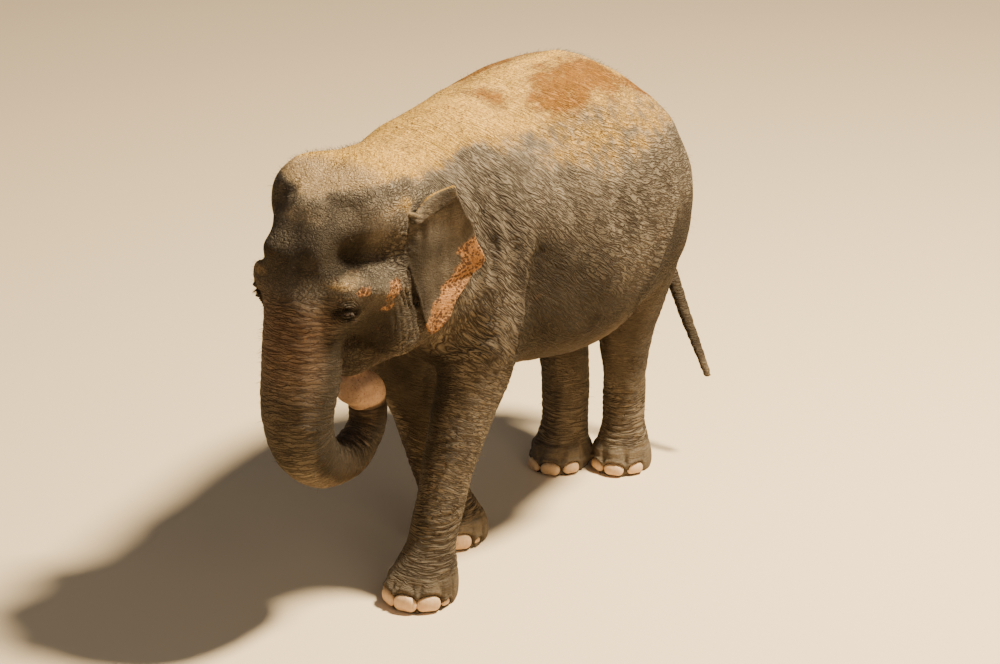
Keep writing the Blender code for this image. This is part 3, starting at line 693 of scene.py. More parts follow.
def toe_shape(points):
    """How far the skin rises round the nails, and how close each point is to a nail's rim."""
    push, rim = np.zeros((2, len(points)))
    for name in nails:
        centre, axes, reach = nail_frame(name)
        local = (points - centre) @ axes.T
        out, side, up = local.T
        size = np.linalg.norm(local[:, 1:] / reach[1:], axis=1)
        ahead, near = bell(out, 0.055) * (out > -0.04), bell(out, 0.07)
        push -= 0.011 * ahead * bell(size - 1.03, 0.12)
        push += 0.009 * ahead * bell(size - 1.36, 0.2) * step(up, -0.02, 0.02)
        push -= 0.012 * ahead * step(size, 0.95, 0.75)
        push += 0.013 * bell(side, 0.04) * bell(up - 0.085, 0.032) * near
        for edge in (-1, 1):
            line = bell(side - edge * (reach[1] + 0.012), 0.008)
            push -= 0.009 * line * step(up, 0.13, 0.07) * near
        rim = np.maximum(rim, ahead * bell(size - 1.05, 0.13))
    return push, rim


place = points_of(skin)
push, rim = toe_shape(place)
raise_skin(push * step(place[:, 2], 0.17, 0.12))
place = points_of(skin)
place[:, 2] = np.maximum(place[:, 2], 0.0)
set_points(skin, place)

# %% [markdown]
# ## Thin the skin out
# The cut faces carry far more points than a flank needs. Decimate collapses the edges that
# matter least for the shape, which leaves the most triangles in the lids and folds.

# %% Keep the skin under its limit of triangles
SKIN_TRIANGLES = 197000
only(skin)
skin_before = triangles(skin)
apply(skin, "DECIMATE", ratio=SKIN_TRIANGLES / skin_before)
bpy.ops.object.shade_smooth()
print("skin triangles:", skin_before, "to", triangles(skin))

# %% [markdown]
# ## Where the marks lie
# The material has to know which part of the animal it is on. Numbers stored on the skin's
# points tell it: how far down the trunk, and how much of each place, stain, painted shade and
# painted highlight. The material breaks their soft edges up with noise.

# %% Store the marks on the skin
def store(obj, name, values):
    layer = obj.data.attributes.new(name, "FLOAT", "POINT")
    layer.data.foreach_set("value", np.asarray(values, np.float32))


def blobs(*rows):
    """Blobs added up: how strong each is, the points it is measured on, its centre and radii."""
    return sum(share * blob(*row) for share, *row in rows)


place, normal = points_of(skin), normals_of(skin)
left = mirrored(place)
run, across, on_trunk = trunk_field(place)
(x, y, z), up, off_trunk = place.T, normal[:, 2], 1 - on_trunk
apart = left[:, 0]  # how far out to her side
leg = off_trunk * step(z, 1.25, 1.02)
near_ear = np.full(len(place), 1.0)
flap_place = np.array(place)
for shell in flap_points:
    tree = KDTree(len(shell))
    for n, spot in enumerate(shell):
        tree.insert(spot, n)
    tree.balance()
    for n in np.flatnonzero((x * shell[0, 0] > 0) & (apart > 0.25) & (y < -0.45)
                            & (z > 1.3) & (z < 2.15)):
        spot, _, away = tree.find(place[n])
        if away < near_ear[n]:
            near_ear[n], flap_place[n] = away, spot
ear = step(near_ear, 0.022, 0.01)
u, v = np.zeros((2, len(place)))
for side in (1, -1):
    root, back, outward = ear_frame(side)
    spot = flap_place * (side, 1, 1) - root
    u, v = np.where(x * side > 0, spot @ back, u), np.where(x * side > 0, spot[:, 2], v)
flat = np.column_stack([u, v, 0 * u])
edge_away, edge_run = to_path(flat, [(q, r, 0) for q, r in EAR_FREE[1:]])
margin = 0.9 * ear * step(edge_away, 0.15, 0.05) * step(edge_run, 0.1, 0.28)
margin = np.maximum(margin, 0.85 * ear * step(v, -0.43, -0.5) * step(u, 0.03, 0.09))
pink = margin + blobs((0.95, left, (0.325, -1.085, 1.68), (0.1, 0.055, 0.05)),
                      (0.85, left, (0.265, -1.255, 1.716), (0.07, 0.05, 0.028)),
                      (0.5, left, (0.3, -1.1, 1.59), (0.07, 0.06, 0.04)),
                      (0.12, left, (0.215, -1.33, 1.6), (0.06, 0.07, 0.06)),
                      (0.36, left, (0.1, -1.4, 1.56), (0.16, 0.12, 0.13)))
rust = blobs((1.3, left, (0.2, 0.69, 2.165), (0.17, 0.26, 0.13)),
             (1.2, left, (0.23, 0.31, 2.16), (0.17, 0.2, 0.13)),
             (0.9, place, (0.09, 0.0, 2.215), (0.12, 0.1, 0.1)),
             (1.0, place, (0.27, 0.99, 2.01), (0.07, 0.15, 0.12)))
red = 0.9 * between(run, 0.02, 0.2, 0.35, 0.75) * step(across, 0.0, 0.1)
belly = step(up, 0.1, -0.3) * between(z, 0.72, 0.82, 1.03, 1.16) * between(
    y, -0.35, -0.1, 0.4, 0.66)

dust = step(up, 0.3, 0.95) * step(z, 1.8, 2.15)
dust = np.maximum(dust, 0.62 * step(up, -0.05, 0.6) * step(z, 1.45, 1.95) * step(y, -0.55, 0.2))
dust *= 1 - step(y, -0.9, -1.02) * step(z, 2.16, 1.98)
for patch in (  # crown, brow (painted highlight), forehead, side of head, left hind leg, ear rim
        0.9 * blob(place, (0.0, -0.98, 2.18), (0.22, 0.28, 0.11)),
        0.82 * blob(left, (0.205, -1.3, 1.752), (0.09, 0.12, 0.036)),
        0.5 * blob(place, (0.0, -1.3, 2.02), (0.17, 0.07, 0.06)),
        0.6 * blob(left, (0.26, -1.0, 2.03), (0.14, 0.2, 0.08)),
        0.5 * step(x, 0.3, 0.45) * step(y, 0.7, 0.9) * step(z, 0.85, 0.55),
        0.42 * ear * step(z, 1.93, 1.98) * step(up, -0.3, 0.3)):
    dust = np.maximum(dust, patch)

inward = step(normal[:, 0] * np.sign(x), 0.2, -0.3) * off_trunk
sideways = np.abs(normal[:, 0]) * 0.84 + normal[:, 1] * 0.545
cloudy = np.clip(0.8 + 0.4 * noise(place, (0.05, 0.07, 0.11), 41), 0, 1)
# painted shade in hollows: temples, under crown and ear rim, before the ears, eyes, cheeks, jaw
dark = blobs((1.15, left, (0.205, -1.24, 1.848), (0.12, 0.12, 0.088)),
             (0.6, left, (0.14, -1.235, 2.075), (0.1, 0.06, 0.03)),
             (1.0, left, (0.225, -1.311, 1.63), (0.07, 0.065, 0.042)),
             (0.9, left, (0.325, -0.95, 1.64), (0.05, 0.03, 0.18)),
             (0.9, left, (0.4, -0.83, 1.985), (0.1, 0.09, 0.022)),
             (1.3, left, (0.27, -1.12, 1.52), (0.12, 0.15, 0.11)),
             (0.9, left, (0.17, -1.08, 1.38), (0.16, 0.12, 0.1)),
             (0.6, left, (0.33, -0.95, 1.78), (0.05, 0.05, 0.15)),
             (1.1, left, EYE, (0.05, 0.05, 0.024)))
for patch in (
        # painted shade on the forehead, the lower flank and the inside of the ears
        0.62 * step(y, -1.12, -1.22) * between(z, 1.7, 1.8, 1.96, 2.06),
        0.85 * step(z, 1.62, 1.1) * step(y, -0.4, -0.1) * (1 - leg) * step(up, 0.6, 0.2),
        ear * (1 - margin) * cloudy * (0.15 + 0.85 * step(z, 1.94, 1.76)),
        # painted shade on the inner faces of the legs, the haunch, the belly and the chest
        0.85 * between(z, 0.45, 0.7, 1.12, 1.25) * inward,
        0.75 * step(behind_flank(left), -0.03, 0.05) * between(z, 0.3, 0.6, 1.4, 1.62)
        * step(apart, 0.1, 0.25),
        0.6 * between(y, -0.3, -0.2, 0.55, 0.62) * between(z, 0.7, 0.8, 1.05, 1.3),
        0.5 * step(y, -0.3, -0.45) * between(z, 0.8, 0.95, 1.2, 1.35)
        * step(apart, 0.2, 0.1),
        # painted shade behind the elbow, twice: a deep edge and a wide shade
        0.95 * sunk(behind_elbow(left), (-0.01, 0.02), 0.17) * step(apart, 0.25, 0.35)
        * between(z, 0.9, 1.05, 1.5, 1.74),
        0.8 * between(y, -0.44, -0.22, -0.02, 0.4) * step(z, 1.82, 1.55)
        * step(apart, 0.3, 0.4),
        # painted shade on the sides of the trunk and on the left forefoot
        0.95 * on_trunk * step(sideways, 0.2, 0.75) * step(run, 0.1, 0.3),
        0.4 * step(z, 0.6, 0.35) * step(y, 0.3, 0.0) * step(x, 0.0, 0.1) * off_trunk):
    dark += patch

calm = 0.2 * leg * step(normal[:, 1], -0.25, -0.75)
calm = np.maximum(calm, 0.55 * leg * step(y, 0.3, 0.5) * step(z, 0.36, 0.46))
calm = np.maximum(calm, 0.6 * leg * step(normal[:, 0] * np.sign(x), 0.0, -0.5))
for name, values in {
        "trunk": on_trunk, "trunk_run": run, "trunk_front": across, "leg": leg,
        "shoulder": step(z, 1.0, 1.2) * step(y, -0.8, -0.62) * off_trunk,
        "face": step(y, -0.99, -1.12) * step(z, 1.22, 1.32) * off_trunk,
        "ankle": step(z, 0.44, 0.34) * off_trunk, "ear": ear,
        "tip": step(run, 1.475, 1.525) * on_trunk * step(z, 1.215, 1.185),
        "toes": np.maximum(step(z, 0.175, 0.125),
                           0.6 * step(y, 1.26, 1.34) * step(z, 1.5, 1.3)),
        "rim": toe_shape(place)[1], "smooth": np.maximum(calm, 0.8 * belly), "belly": belly,
        "reddish": np.clip(on_trunk * (red + 0.5 * step(run, 0.8, 1.1)), 0, 1),
        "pink": np.clip(pink, 0, 1), "rust": np.clip(rust, 0, 1), "dust": dust,
        "dark": np.clip(dark, 0, 1)}.items():
    store(skin, name, values)
print("marks stored:", len(skin.data.attributes))

# %% [markdown]
# ## Toenails
# Each nail is a broad arch of horn. A sphere is scaled to the nail's solid, flattened in
# front and squared off a little, and turned to face out of the foot.

# %% Model the nails
nail_pieces = {}
for name in nails:
    centre, axes, reach = nail_frame(name)
    bpy.ops.mesh.primitive_uv_sphere_add(segments=40, ring_count=26, radius=1)
    nail = bpy.context.object
    nail.name = nail.data.name = name + "_horn"
    ball = points_of(nail)
    power = np.where(ball[:, 2:] < 0, (0.8, 0.72, 0.8), (0.8, 1.0, 1.0))
    shape = np.sign(ball) * np.abs(ball) ** power
    shape /= np.maximum(1, np.linalg.norm(shape[:, [0, 2]], axis=1))[:, None]
    spots = (shape * reach) @ axes + centre
    spots[:, 2] = np.maximum(spots[:, 2], 0.0)
    set_points(nail, spots)
    face_outwards(nail)
    bpy.ops.object.shade_smooth()
    nail_pieces[name] = nail
print("nails:", len(nail_pieces))

# %% [markdown]
# ## Eyes
# An elephant's eye is small, brown and wet. The ball gets a low bulge for the cornea, and
# rings of colour round its own axis: pupil, dark brown iris, darker rim and a
# brownish white.

# %% Model the eyeballs
GAZE = np.array([0.84, -0.54, -0.06])
eye_pieces = {}
for side, name in ((1, "eye_left"), (-1, "eye_right")):
    centre = EYE * (side, 1, 1)
    gaze = GAZE * (side, 1, 1) / np.linalg.norm(GAZE)
    bpy.ops.mesh.primitive_uv_sphere_add(segments=64, ring_count=48, radius=BALL)
    ball = bpy.context.object
    ball.name = ball.data.name = name + "_ball"
    turn = np.array(Vector((0, 0, 1)).rotation_difference(Vector(gaze)).to_matrix())
    spots = points_of(ball) @ turn.T
    angle = np.degrees(np.arccos(np.clip(spots @ gaze / BALL, -1, 1)))
    store(ball, "off_axis", angle)
    spots += gaze * (0.0012 * step(angle, 42, 20))[:, None]
    set_points(ball, spots + centre)
    only(ball)
    bpy.ops.object.shade_smooth()
    eye_pieces[name] = ball
print("eyes:", len(eye_pieces))

# %% [markdown]
# ## Writing shader maths
# A material is a web of nodes. To read like sums, a node's output is wrapped in a small
# class that knows how to add, multiply and so on by making Math nodes. Colours and vectors
# go through Mix and Vector Math nodes, because a Math node would turn a colour grey.

# %% Sockets that work like numbers
def operator(operation, swapped=False):
    """A method of Value that makes one Math node."""
    def method(self, other):
        pair = (other, self) if swapped else (self, other)
        return self.finish.node("Math", {"operation": operation}, dict(enumerate(pair)))
    return method


class Value:
    """The output of a node, which can be used in an expression."""

    __add__ = __radd__ = operator("ADD")
    __mul__ = __rmul__ = operator("MULTIPLY")
    __sub__, __rsub__ = operator("SUBTRACT"), operator("SUBTRACT", swapped=True)
    least, most, above = operator("MINIMUM"), operator("MAXIMUM"), operator("GREATER_THAN")

    def __init__(self, finish, socket):
        self.finish, self.socket = finish, socket

    def math(self, operation):
        """A function of this value alone, such as its sine."""
        return self.finish.node("Math", {"operation": operation}, {0: self})

    def ramp(self, low, high):
        """0 at low, 1 at high, a smooth climb between."""
        return self.finish.node("MapRange", {"interpolation_type": "SMOOTHSTEP"},
                                {"Value": self, "From Min": low, "From Max": high})


class Finish:
    """A material under construction."""

    def __init__(self, name, **constants):
        self.material = bpy.data.materials.new(name)
        self.material.use_nodes = True
        self.nodes = self.material.node_tree.nodes
        self.links = self.material.node_tree.links
        self.shader = self.nodes["Principled BSDF"]
        for socket, value in constants.items():
            self.shader.inputs[socket.replace("_", " ")].default_value = value

    def node(self, kind, settings=None, inputs=None, output=0):
        node = self.nodes.new("ShaderNode" + kind)
        for name, value in (settings or {}).items():
            setattr(node, name, value)
        for name, value in (inputs or {}).items():
            if isinstance(value, Value):
                self.links.new(value.socket, node.inputs[name])
            else:
                node.inputs[name].default_value = value
        return Value(self, node.outputs[output])

    def feed(self, socket, value):
        self.links.new(value.socket, self.shader.inputs[socket])

    def mark(self, name):
        """A number stored on the points of the mesh."""
        return self.node("Attribute", {"attribute_name": name}, output="Fac")

    def place(self):
        return self.node("TexCoord", output="Object")

    def axes(self, vector):
        """The three parts of a vector."""
        outputs = self.node("SeparateXYZ", None, {"Vector": vector}).socket.node.outputs
        return [Value(self, outputs[axis]) for axis in "XYZ"]

    def stretch(self, vector, factors):
        return self.node("VectorMath", {"operation": "MULTIPLY"}, {0: vector, 1: factors})

    def join(self, x, y, z):
        return self.node("CombineXYZ", None, {"X": x, "Y": y, "Z": z})

    def cloud(self, vector, scale, detail=3.0, roughness=0.5):
        """Soft noise from 0 to 1."""
        return self.node("TexNoise", None, {"Vector": vector, "Scale": scale, "Detail": detail,
                                            "Roughness": roughness}, "Fac")

    def sway(self, vector, scale, amount):
        """The vector, pushed about by noise."""
        push = self.node("TexNoise", None, {"Vector": vector, "Scale": scale, "Detail": 1.0},
                         "Color")
        push = self.node("VectorMath", {"operation": "SUBTRACT"}, {0: push, 1: (0.5, 0.5, 0.5)})
        push = self.stretch(push, (amount,) * 3)
        return self.node("VectorMath", {"operation": "ADD"}, {0: vector, 1: push})

    def rift(self, vector, scale, detail=1.0):
        """Small along wandering lines, which run and meet as wrinkles do."""
        return (self.cloud(vector, scale, detail) - 0.5).math("ABSOLUTE")

    def dots(self, vector, size):
        """Distance from the nearest of many scattered points, in their own spacing."""
        return self.node("TexVoronoi", None, {"Vector": vector, "Scale": 1 / size}, "Distance")

    def blend(self, factor, a, b):
        """Colour a where the factor is 0 and colour b where it is 1."""
        ends = [c if isinstance(c, Value) else (*c, 1) for c in (a, b)]
        return self.node("Mix", {"data_type": "RGBA"}, {0: factor, 6: ends[0], 7: ends[1]}, 2)

    def coats(self, colour, *rows):
        """The colour under layers, each a share and a colour."""
        for share, tint in rows:
            colour = self.blend(share, colour, tint)
        return colour

    def bump(self, height):
        """Feeds the Normal from a height in metres."""
        self.feed("Normal", self.node("Bump", None, {"Height": height, "Distance": 1.0,
                                                     "Strength": 1.0}, "Normal"))


print("shader tools ready")

# %% [markdown]
# ## The hide
# Real elephant skin is a net of deep creases between small plates. One crease net is drawn
# in coordinates that are squeezed differently from region to region, and the marks stored on
# the points choose among them: from the neck to the rump the creases turn from steep to
# level, on the legs they run round the limb, on the trunk they become rings, and on the face
# they are a fine grain. The same height then shapes the bump and darkens the creases: partly
# dirt, partly painted shade.

# %% Creases of the hide
hide = Finish("elephant hide", Specular_IOR_Level=0.1)
spot = hide.place()
bent = hide.sway(spot, 7.0, 0.03)
px, py, pz = hide.axes(bent)

trunk, legs, shoulder = hide.mark("trunk"), hide.mark("leg"), hide.mark("shoulder")
face, ear, tip = hide.mark("face"), hide.mark("ear"), hide.mark("tip")
run, ahead, dusty_and_highlit = hide.mark("trunk_run"), hide.mark("trunk_front"), hide.mark("dust")
ragged = (hide.cloud(spot, 9.0, 2.0) - 0.5) * 0.7
slant = 0.88 + py * 0.27  # in radians, from steep at the neck to level at the rump
steep, level = slant.math("SINE"), slant.math("COSINE")
lying, along_it = py * level + (pz - 1.4) * steep, (pz - 1.4) * level - py * steep
curved = hide.join(px * 9.5, along_it * 9.5, lying * 60)
ringed = hide.join(px * 6, ahead * 6, run * 56 + (hide.cloud(spot, 6.0, 2.0) - 0.5) * 2.6)


def instead(mark, a, b):
    """Vector b where the mark is strong and vector a elsewhere, with a ragged border."""
    return hide.node("Mix", {"data_type": "VECTOR"},
                     {0: (mark + ragged).above(0.5), 4: a, 5: b}, 1)


squeezed = hide.stretch(bent, (24, 24, 62))
for mark, drawn in (
        (shoulder, curved),
        (legs, hide.join(px * 12, py * 12, pz * 66 + py * 34 * (1 - py.ramp(-0.1, 0.3)))),
        (hide.mark("ankle"), hide.stretch(bent, (6, 6, 50))),
        (trunk, ringed),
        (face, hide.stretch(bent, (52, 52, 60)))):
    squeezed = instead(mark, squeezed, drawn)
edge = hide.rift(squeezed, 0.8).least(hide.rift(squeezed, 1.9, 0.7) * 1.15)
ring = (run * 150 + hide.cloud(spot, 9.0, 3.0) * 11).math("SINE").math("ABSOLUTE") * 0.24
edge = edge * (1 - trunk) + ring.least(edge * 2.2) * trunk
# the creases are darkened below: partly dirt, partly painted shade
pillow, slit = edge.ramp(0.0, 0.105), edge.ramp(0.0, 0.036)  # plates, and the creases

strong = hide.cloud(spot, 3.6, 2.0).ramp(0.32, 0.66)
calm = (dusty_and_highlit * 0.58).most(hide.mark("smooth")).most(hide.mark("toes") * 0.85)
calm = calm.most(face * 0.5).most(ear * 0.8).most(tip * 0.72)
depth = (0.0054 + 0.0106 * strong) * (1 - calm) * (1 - 0.5 * trunk)
fine = hide.rift(spot, 75.0, 2.0).ramp(0.0, 0.06)
hide.bump(pillow * depth + fine * 0.0013 + hide.cloud(spot, 34.0, 2.0) * 0.003)
print("creases drawn")

# %% [markdown]
# ## Colours of the hide
# Bare hide is a warm grey brown. Dust lies on everything that faces up, red mud stains the
# hips, and an older cow loses pigment at the ears, cheeks and trunk: those places are pink
# with dark freckles. Shade is painted in as well: hollows, creases, the underside, the inner
# faces of the legs and the sides of the trunk are darkened, and the brow ridge gets a
# painted highlight.

# %% Paint the hide
DIRT_AND_SHADE, PAINTED_SHADE_HIDE, GREY_HIDE, BROWN_HIDE = [
    (0.022, 0.014, 0.008), (0.02, 0.014, 0.007), (0.06, 0.046, 0.03), (0.18, 0.14, 0.092)]
dark = hide.mark("dark")
wide = hide.cloud(spot, 2.6, 3.0)
patchy = hide.cloud(spot, 14.0, 4.0, 0.6)
drips = hide.cloud(hide.stretch(bent, (12, 12, 2.0)), 1.0, 3.0).ramp(0.32, 0.68)
tone = wide.ramp(0.3, 0.7) * 0.3 + patchy.ramp(0.3, 0.75) * 0.28 + drips * 0.42
tanned = hide.blend(hide.dots(spot, 0.016).ramp(0.22, 0.12), (0.5, 0.31, 0.18),
                    (0.2, 0.1, 0.06))
tanned = hide.blend(patchy.ramp(0.35, 0.7) * 0.5, tanned, (0.17, 0.095, 0.06))
colour = hide.coats(
    hide.blend(tone, GREY_HIDE, BROWN_HIDE),
    (hide.mark("reddish") * (0.3 + 0.45 * patchy), (0.16, 0.075, 0.034)),
    # the belly's underside darker orange brown: a tint, and painted shade
    (hide.mark("belly") * 0.8, (0.105, 0.05, 0.011)),
    (legs * 0.48 * patchy.ramp(0.2, 0.8), (0.15, 0.106, 0.06)),
    # painted shade: hollows, underside, inner legs and trunk sides near black
    (dark * 0.88, PAINTED_SHADE_HIDE),
    (hide.mark("rim") * 0.8, (0.016, 0.01, 0.006)),
    (tip * 0.86, tanned))

lost = hide.mark("pink") + (hide.cloud(spot, 26.0, 3.0, 0.65) - 0.5) * 0.9
freckle = hide.dots(spot, 0.013).ramp(0.6, 0.44) * hide.cloud(spot, 22.0, 2.0).ramp(0.3, 0.44)
rosy = hide.blend(hide.cloud(spot, 19.0, 2.0), (0.4, 0.165, 0.045), (0.46, 0.23, 0.085))
rosy = hide.blend(freckle * 0.92, rosy, (0.085, 0.038, 0.018))

streaks = hide.cloud(hide.stretch(bent, (16, 6, 16)), 1.0, 5.0, 0.7) - 0.5
mud = (hide.mark("rust") + streaks * 2.1).ramp(0.2, 1.0) * 0.92
muddy = hide.blend(patchy, (0.095, 0.028, 0.002), (0.24, 0.08, 0.005))
# dust on what faces up, and a painted highlight on the brow ridge
powder_and_highlight = dusty_and_highlit * 1.15 + (hide.cloud(spot, 12.0, 5.0, 0.7) - 0.5) * 1.0
powder_and_highlight = powder_and_highlight.ramp(0.22, 1.05)
speck = hide.cloud(spot, 120.0, 3.0, 0.7).ramp(0.3, 0.56)
sandy = hide.blend(speck, (0.2, 0.088, 0.014), (0.64, 0.36, 0.064))
sandy = hide.blend(powder_and_highlight.ramp(0.15, 0.8), (0.32, 0.245, 0.155), sandy)
sandy = hide.coats(
    sandy,
    (hide.cloud(spot, 48.0, 2.0).ramp(0.6, 0.7) * 0.65, (0.11, 0.055, 0.02)),
    (face * 0.7, (0.37, 0.27, 0.16)))
# painted shade and dirt: the creases darker, with darker streaks on the ears
shade = (((1 - slit) * 0.58 + (1 - pillow) * 0.3) * (1 - calm) * (1 - 0.45 * trunk)
         + (1 - fine) * 0.16 + ear * (1 - drips) * 0.35)
hide.feed("Base Color", hide.coats(
    colour,
    (lost.ramp(0.42, 0.62), rosy),
    (mud, muddy),
    (powder_and_highlight * (1 - 0.92 * mud) * 0.9, sandy),
    # paler crests of the plates: dust caught on the ridges, and a painted highlight
    (pillow.ramp(0.55, 1.0) * (1 - calm) * 0.11 * (1 - dark), (0.33, 0.255, 0.165)),
    (shade, DIRT_AND_SHADE)))
hide.feed("Roughness", 0.66 + 0.24 * powder_and_highlight + 0.1 * patchy - 0.12 * tip)
skin.data.materials.clear()
skin.data.materials.append(hide.material)
print("hide nodes:", len(hide.nodes))

# %% [markdown]
# ## Horn and eyes
# Nails are pale, warm horn with fine upright lines and a dirty foot. The eye reads how far
# each point lies off its own axis, which draws the rings of pupil and iris.

# %% Finish the nails
horn = Finish("nail horn", Specular_IOR_Level=0.45)
spot = horn.place()
lines = horn.cloud(horn.stretch(spot, (150, 150, 12)), 1.0, 2.0)
worn = horn.cloud(spot, 28.0, 4.0, 0.6)
rise = horn.axes(spot)[2]
horn.feed("Base Color", horn.coats(
    horn.blend(worn, (0.4, 0.22, 0.1), (0.68, 0.455, 0.23)),
    (lines.ramp(0.35, 0.75) * 0.3, (0.7, 0.54, 0.36)),
    (rise.ramp(0.02, 0.004) * 0.55, (0.16, 0.1, 0.06))))
horn.feed("Roughness", 0.42 + 0.25 * worn)
horn.bump(lines * 0.0012 + worn * 0.0012)
for nail in nail_pieces.values():
    nail.data.materials.append(horn.material)

# %% Finish the eyes
gem = Finish("eye", Specular_IOR_Level=0.25, Coat_Weight=0.3, Coat_Roughness=0.03,
             Coat_IOR=1.38)
off = gem.mark("off_axis")
streak = gem.cloud(gem.place(), 900.0, 2.0)
iris = gem.blend(streak, (0.018, 0.009, 0.005), (0.05, 0.024, 0.01))
iris = gem.blend(off.ramp(24, 33), iris, (0.02, 0.01, 0.006))
colour = gem.blend(off.ramp(12, 10), iris, (0.002, 0.002, 0.002))
colour = gem.blend(off.ramp(34, 40), colour, (0.05, 0.03, 0.022))
gem.feed("Base Color", colour)
gem.feed("Roughness", 0.16 + 0.14 * streak)
for ball in eye_pieces.values():
    ball.data.materials.append(gem.material)
print("materials:", [m.name for m in bpy.data.materials])

# %% [markdown]
# ## Bristles
# An elephant's hair is sparse: brown bristles stand on the crown, the nape and along the
# back, round the chin and ears, as lashes over the eyes and in a worn tuft on the tail. Each
# is a thin cone of three sides that leans the way the coat lies. All are one mesh. The map named
# OFBake gives each bristle a tiny patch where its root lies on the body rolled out flat:
# distance along the body one way, angle round the spine the other.

# %% Choose where the bristles stand
BRISTLES, LASHES = 5200, 46
dice = np.random.default_rng(11)
only(skin)
skin.data.calc_loop_triangles()
corners = read(skin.data.loop_triangles, "vertices", 3, np.int32)
place, normal = points_of(skin), normals_of(skin)
one, two, three = (place[corners[:, k]] for k in range(3))
mid = place[corners].mean(1)
left = mirrored(mid)
chance = blobs(  # back, crown, nape, chin, ear lobes, brows and the end of the tail
    (1.0, mid, (0, 0.35, 2.24), (0.16, 1.05, 0.12)), (1.0, mid, (0, 0.9, 2.1), (0.13, 0.5, 0.2)),
    (1.6, mid, (0, -1.02, 2.17), (0.26, 0.26, 0.12)),
    (0.9, mid, (0, -0.65, 2.1), (0.2, 0.3, 0.14)),
    (1.2, left, (0.06, -1.02, 1.3), (0.16, 0.12, 0.07)),
    (0.8, left, (0.36, -0.86, 1.48), (0.06, 0.1, 0.12)),
    (0.5, left, (0.24, -1.3, 1.73), (0.08, 0.1, 0.05)),
    (60, mid, (-0.02, 1.5, 0.74), (0.09, 0.09, 0.085)))
chance += 0.3 * trunk_field(mid)[2] * step(mid[:, 2], 1.0, 1.3) + 0.04
chance *= np.linalg.norm(np.cross(two - one, three - one), axis=1) / 2
chance *= mid[:, 2] > 0.25  # none on the feet
chosen = dice.choice(len(mid), BRISTLES, p=chance / chance.sum())
print("bristles on the tail:", int((mid[chosen, 1] > 1.35).sum()))

# %% Grow the bristles
share = dice.dirichlet((1, 1, 1), len(chosen))
root = (place[corners[chosen]] * share[:, :, None]).sum(1)
out = unit((normal[corners[chosen]] * share[:, :, None]).sum(1))
lie = np.tile(np.array([0.0, 0.75, -0.35]), (len(root), 1))
on_tail = root[:, 1] > 1.3
lie[root[:, 1] < -0.75] = (0.0, -0.35, 0.1)
lie[on_tail] = (0.0, 0.35, -0.95)
lean = unit(out * dice.uniform(0.55, 1.0, len(root))[:, None] + lie
            + dice.normal(0, 0.22, (len(root), 3)))
length = dice.uniform(0.016, 0.04, len(root)) * np.where(on_tail, 1.5, 1.0)
thick = dice.uniform(0.00045, 0.0008, len(root))


def grow(root, lean, length, thick, droop):
    """Points and faces of three-sided cones in two joints."""
    one = unit(np.cross(lean, np.where(np.abs(lean[:, 2:]) < 0.8, [[0, 0, 1.0]], [[1.0, 0, 0]])))
    two = np.cross(lean, one)
    rings = []
    for part, thin in ((0.0, 1.0), (0.55, 0.7)):
        middle = root + lean * (length * part - 0.003)[:, None] + droop * part ** 2
        for turn in np.arange(3) * 2 * math.pi / 3:
            rings.append(middle + (one * math.cos(turn) + two * math.sin(turn))
                         * (thick * thin)[:, None])
    points = np.stack(rings + [root + lean * length[:, None] + droop], 1)
    faces = [(0, 1, 4, 3), (1, 2, 5, 4), (2, 0, 3, 5), (3, 4, 6), (4, 5, 6), (5, 3, 6)]
    return points.reshape(-1, 3), [tuple(7 * n + k for k in face)
                                   for n in range(len(root)) for face in faces]


points, faces = grow(root, lean, length, thick, length[:, None] * (0, 0.15, -0.35))

# eyelashes stand along the upper lids, the left one's first
out_axis, fore_axis, rise_axis = eye_frame()
sides = np.repeat([(1, 1, 1), (-1, 1, 1)], LASHES, axis=0)
a = np.tile(np.linspace(-0.027, 0.027, LASHES), 2)[:, None]
b = 0.0105 * (1 - (a / 0.03) ** 2) + 0.0025
c = np.sqrt(np.maximum((BALL + 0.0035) ** 2 - (0.62 * a) ** 2 - b * b, 0))
lash_root = (EYE + fore_axis * a + rise_axis * b + out_axis * c) * sides
spread = dice.normal(0, 0.1, sides.shape)
lash_lean = unit(out_axis * 0.9 - rise_axis * 0.35 + fore_axis * (a * 9) + spread) * sides
length = dice.uniform(0.016, 0.026, len(sides))
more, extra = grow(lash_root, lash_lean, length, np.full(len(sides), 0.0005),
                   length[:, None] * (0, 0, -0.25))
faces += [tuple(k + len(points) for k in face) for face in extra]
mesh = bpy.data.meshes.new("bristles")
mesh.from_pydata(np.vstack([points, more]).tolist(), [], faces)
mesh.update()
bristles = bpy.data.objects.new("bristles", mesh)
bpy.context.scene.collection.objects.link(bristles)

# the map for baking: along the body, and round the spine
x, y, z = np.vstack([root, lash_root]).T
turn = np.arctan2(x, z - 1.3) / (2 * math.pi) + 0.5
flat = 0.02 + 0.96 * np.column_stack([(y + 1.55) / 3.1, turn])
corner_at = np.array([(0, 0), (0.003, 0), (0, 0.003), (0.001, 0.001), (0.002, 0.001),
                      (0.001, 0.002), (0.0015, 0.0015)])
chart = mesh.uv_layers.new(name="OFBake")
loop_point = read(mesh.loops, "vertex_index", kind=np.int32)
spots = flat[loop_point // 7] + corner_at[loop_point % 7]
chart.data.foreach_set("uv", spots.astype(np.float32).ravel())
hair = Finish("bristle", Roughness=0.55, Specular_IOR_Level=0.4)
hair.feed("Base Color", hair.blend(hair.cloud(hair.place(), 6.0, 2.0), (0.03, 0.018, 0.01),
                                   (0.12, 0.07, 0.035)))
mesh.materials.append(hair.material)
only(bristles)
bpy.ops.object.shade_smooth()
print("bristles:", len(root), "lashes:", len(lash_root), "triangles:", triangles(bristles))
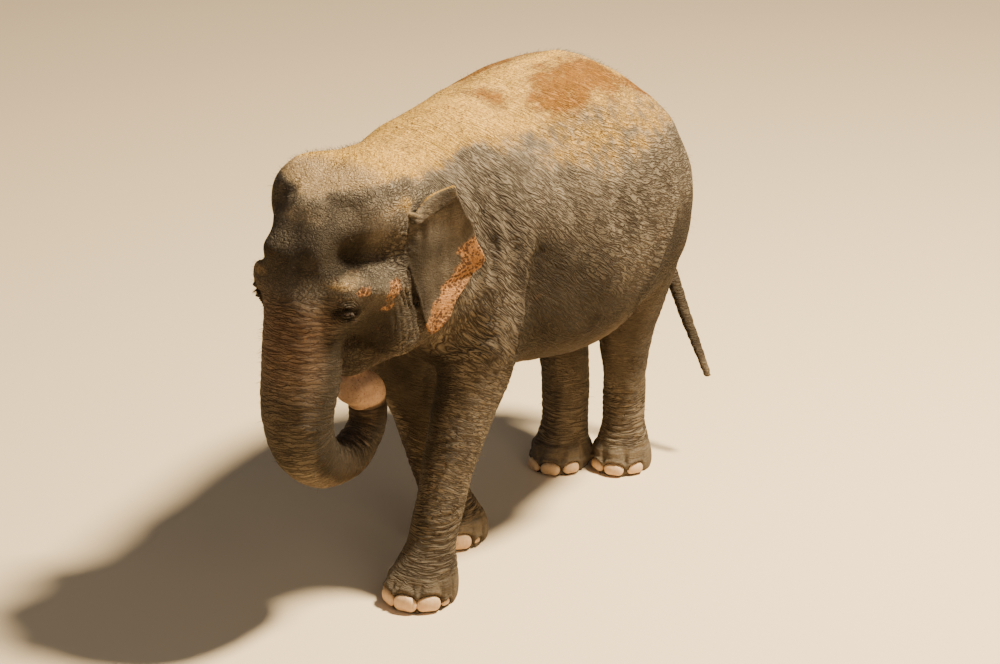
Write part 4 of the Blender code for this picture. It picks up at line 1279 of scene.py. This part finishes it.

# %% [markdown]
# ## Tie the pieces to the solids
# Every piece rides the one body of the still model and takes the place of the solids it
# dresses.

# %% Ride and replace
for piece in [skin, bristles, *nail_pieces.values(), *eye_pieces.values()]:
    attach(piece, "root")
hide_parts(*flesh, *ears)
for name, nail in nail_pieces.items():
    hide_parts(name)
for name, ball in eye_pieces.items():
    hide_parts(name)
print("pieces tied:", 2 + len(nail_pieces) + len(eye_pieces))

# %% [markdown]
# ## Floor, light and camera
# A plain pale floor carries the shadow. One strong lamp, high on her left and a little
# behind, stands for a hot noon, so the back is bright and the face lies in soft shade, and
# two weak wide lamps open the shade. The camera looks down on her from ahead and to her left.

# %% Set the floor and the lights
bpy.ops.mesh.primitive_plane_add(size=60, location=(0, 0, 0))
floor = bpy.context.object
floor.name = "floor"
sand = Finish("pale floor", Roughness=0.95, Base_Color=(0.76, 0.58, 0.36, 1))
floor.data.materials.append(sand.material)


def lamp(name, direction, distance, size, power, colour):
    middle = Vector((0, 0, 1.2))  # of the animal
    spot = Vector(direction).normalized() * distance + middle
    bpy.ops.object.light_add(type="AREA", location=spot)
    light = bpy.context.object
    light.name = name
    light.data.shape = "DISK"
    light.data.size = size
    light.data.energy = power
    light.data.color = colour
    light.rotation_euler = (middle - spot).to_track_quat("-Z", "Y").to_euler()


lamp("key", (0.42, 0.17, 0.86), 10, 1.5, 5100, (1.0, 0.88, 0.68))
lamp("fill", (0.8, -0.55, 0.4), 11, 7, 220, (1.0, 0.94, 0.84))
lamp("right", (-0.7, -0.6, 0.4), 11, 7, 60, (1.0, 0.9, 0.78))
world = bpy.data.worlds.new("studio")
world.use_nodes = True
sky = world.node_tree.nodes["Background"].inputs
sky["Color"].default_value = (0.9, 0.92, 1.0, 1)
sky["Strength"].default_value = 0.15
bpy.context.scene.world = world

# %% Set the camera
AIM = Vector((-0.23, 0.583, 0.817))
AZIMUTH, ELEVATION, DISTANCE = math.radians(33), math.radians(21.5), 18.0
toward = Vector((math.sin(AZIMUTH) * math.cos(ELEVATION),
                 -math.cos(AZIMUTH) * math.cos(ELEVATION), math.sin(ELEVATION)))
bpy.ops.object.camera_add(location=AIM + toward * DISTANCE)
camera = bpy.context.object
camera.rotation_euler = (-toward).to_track_quat("-Z", "Y").to_euler()
camera.data.sensor_width = 36
camera.data.lens = 136.08
bpy.context.scene.camera = camera
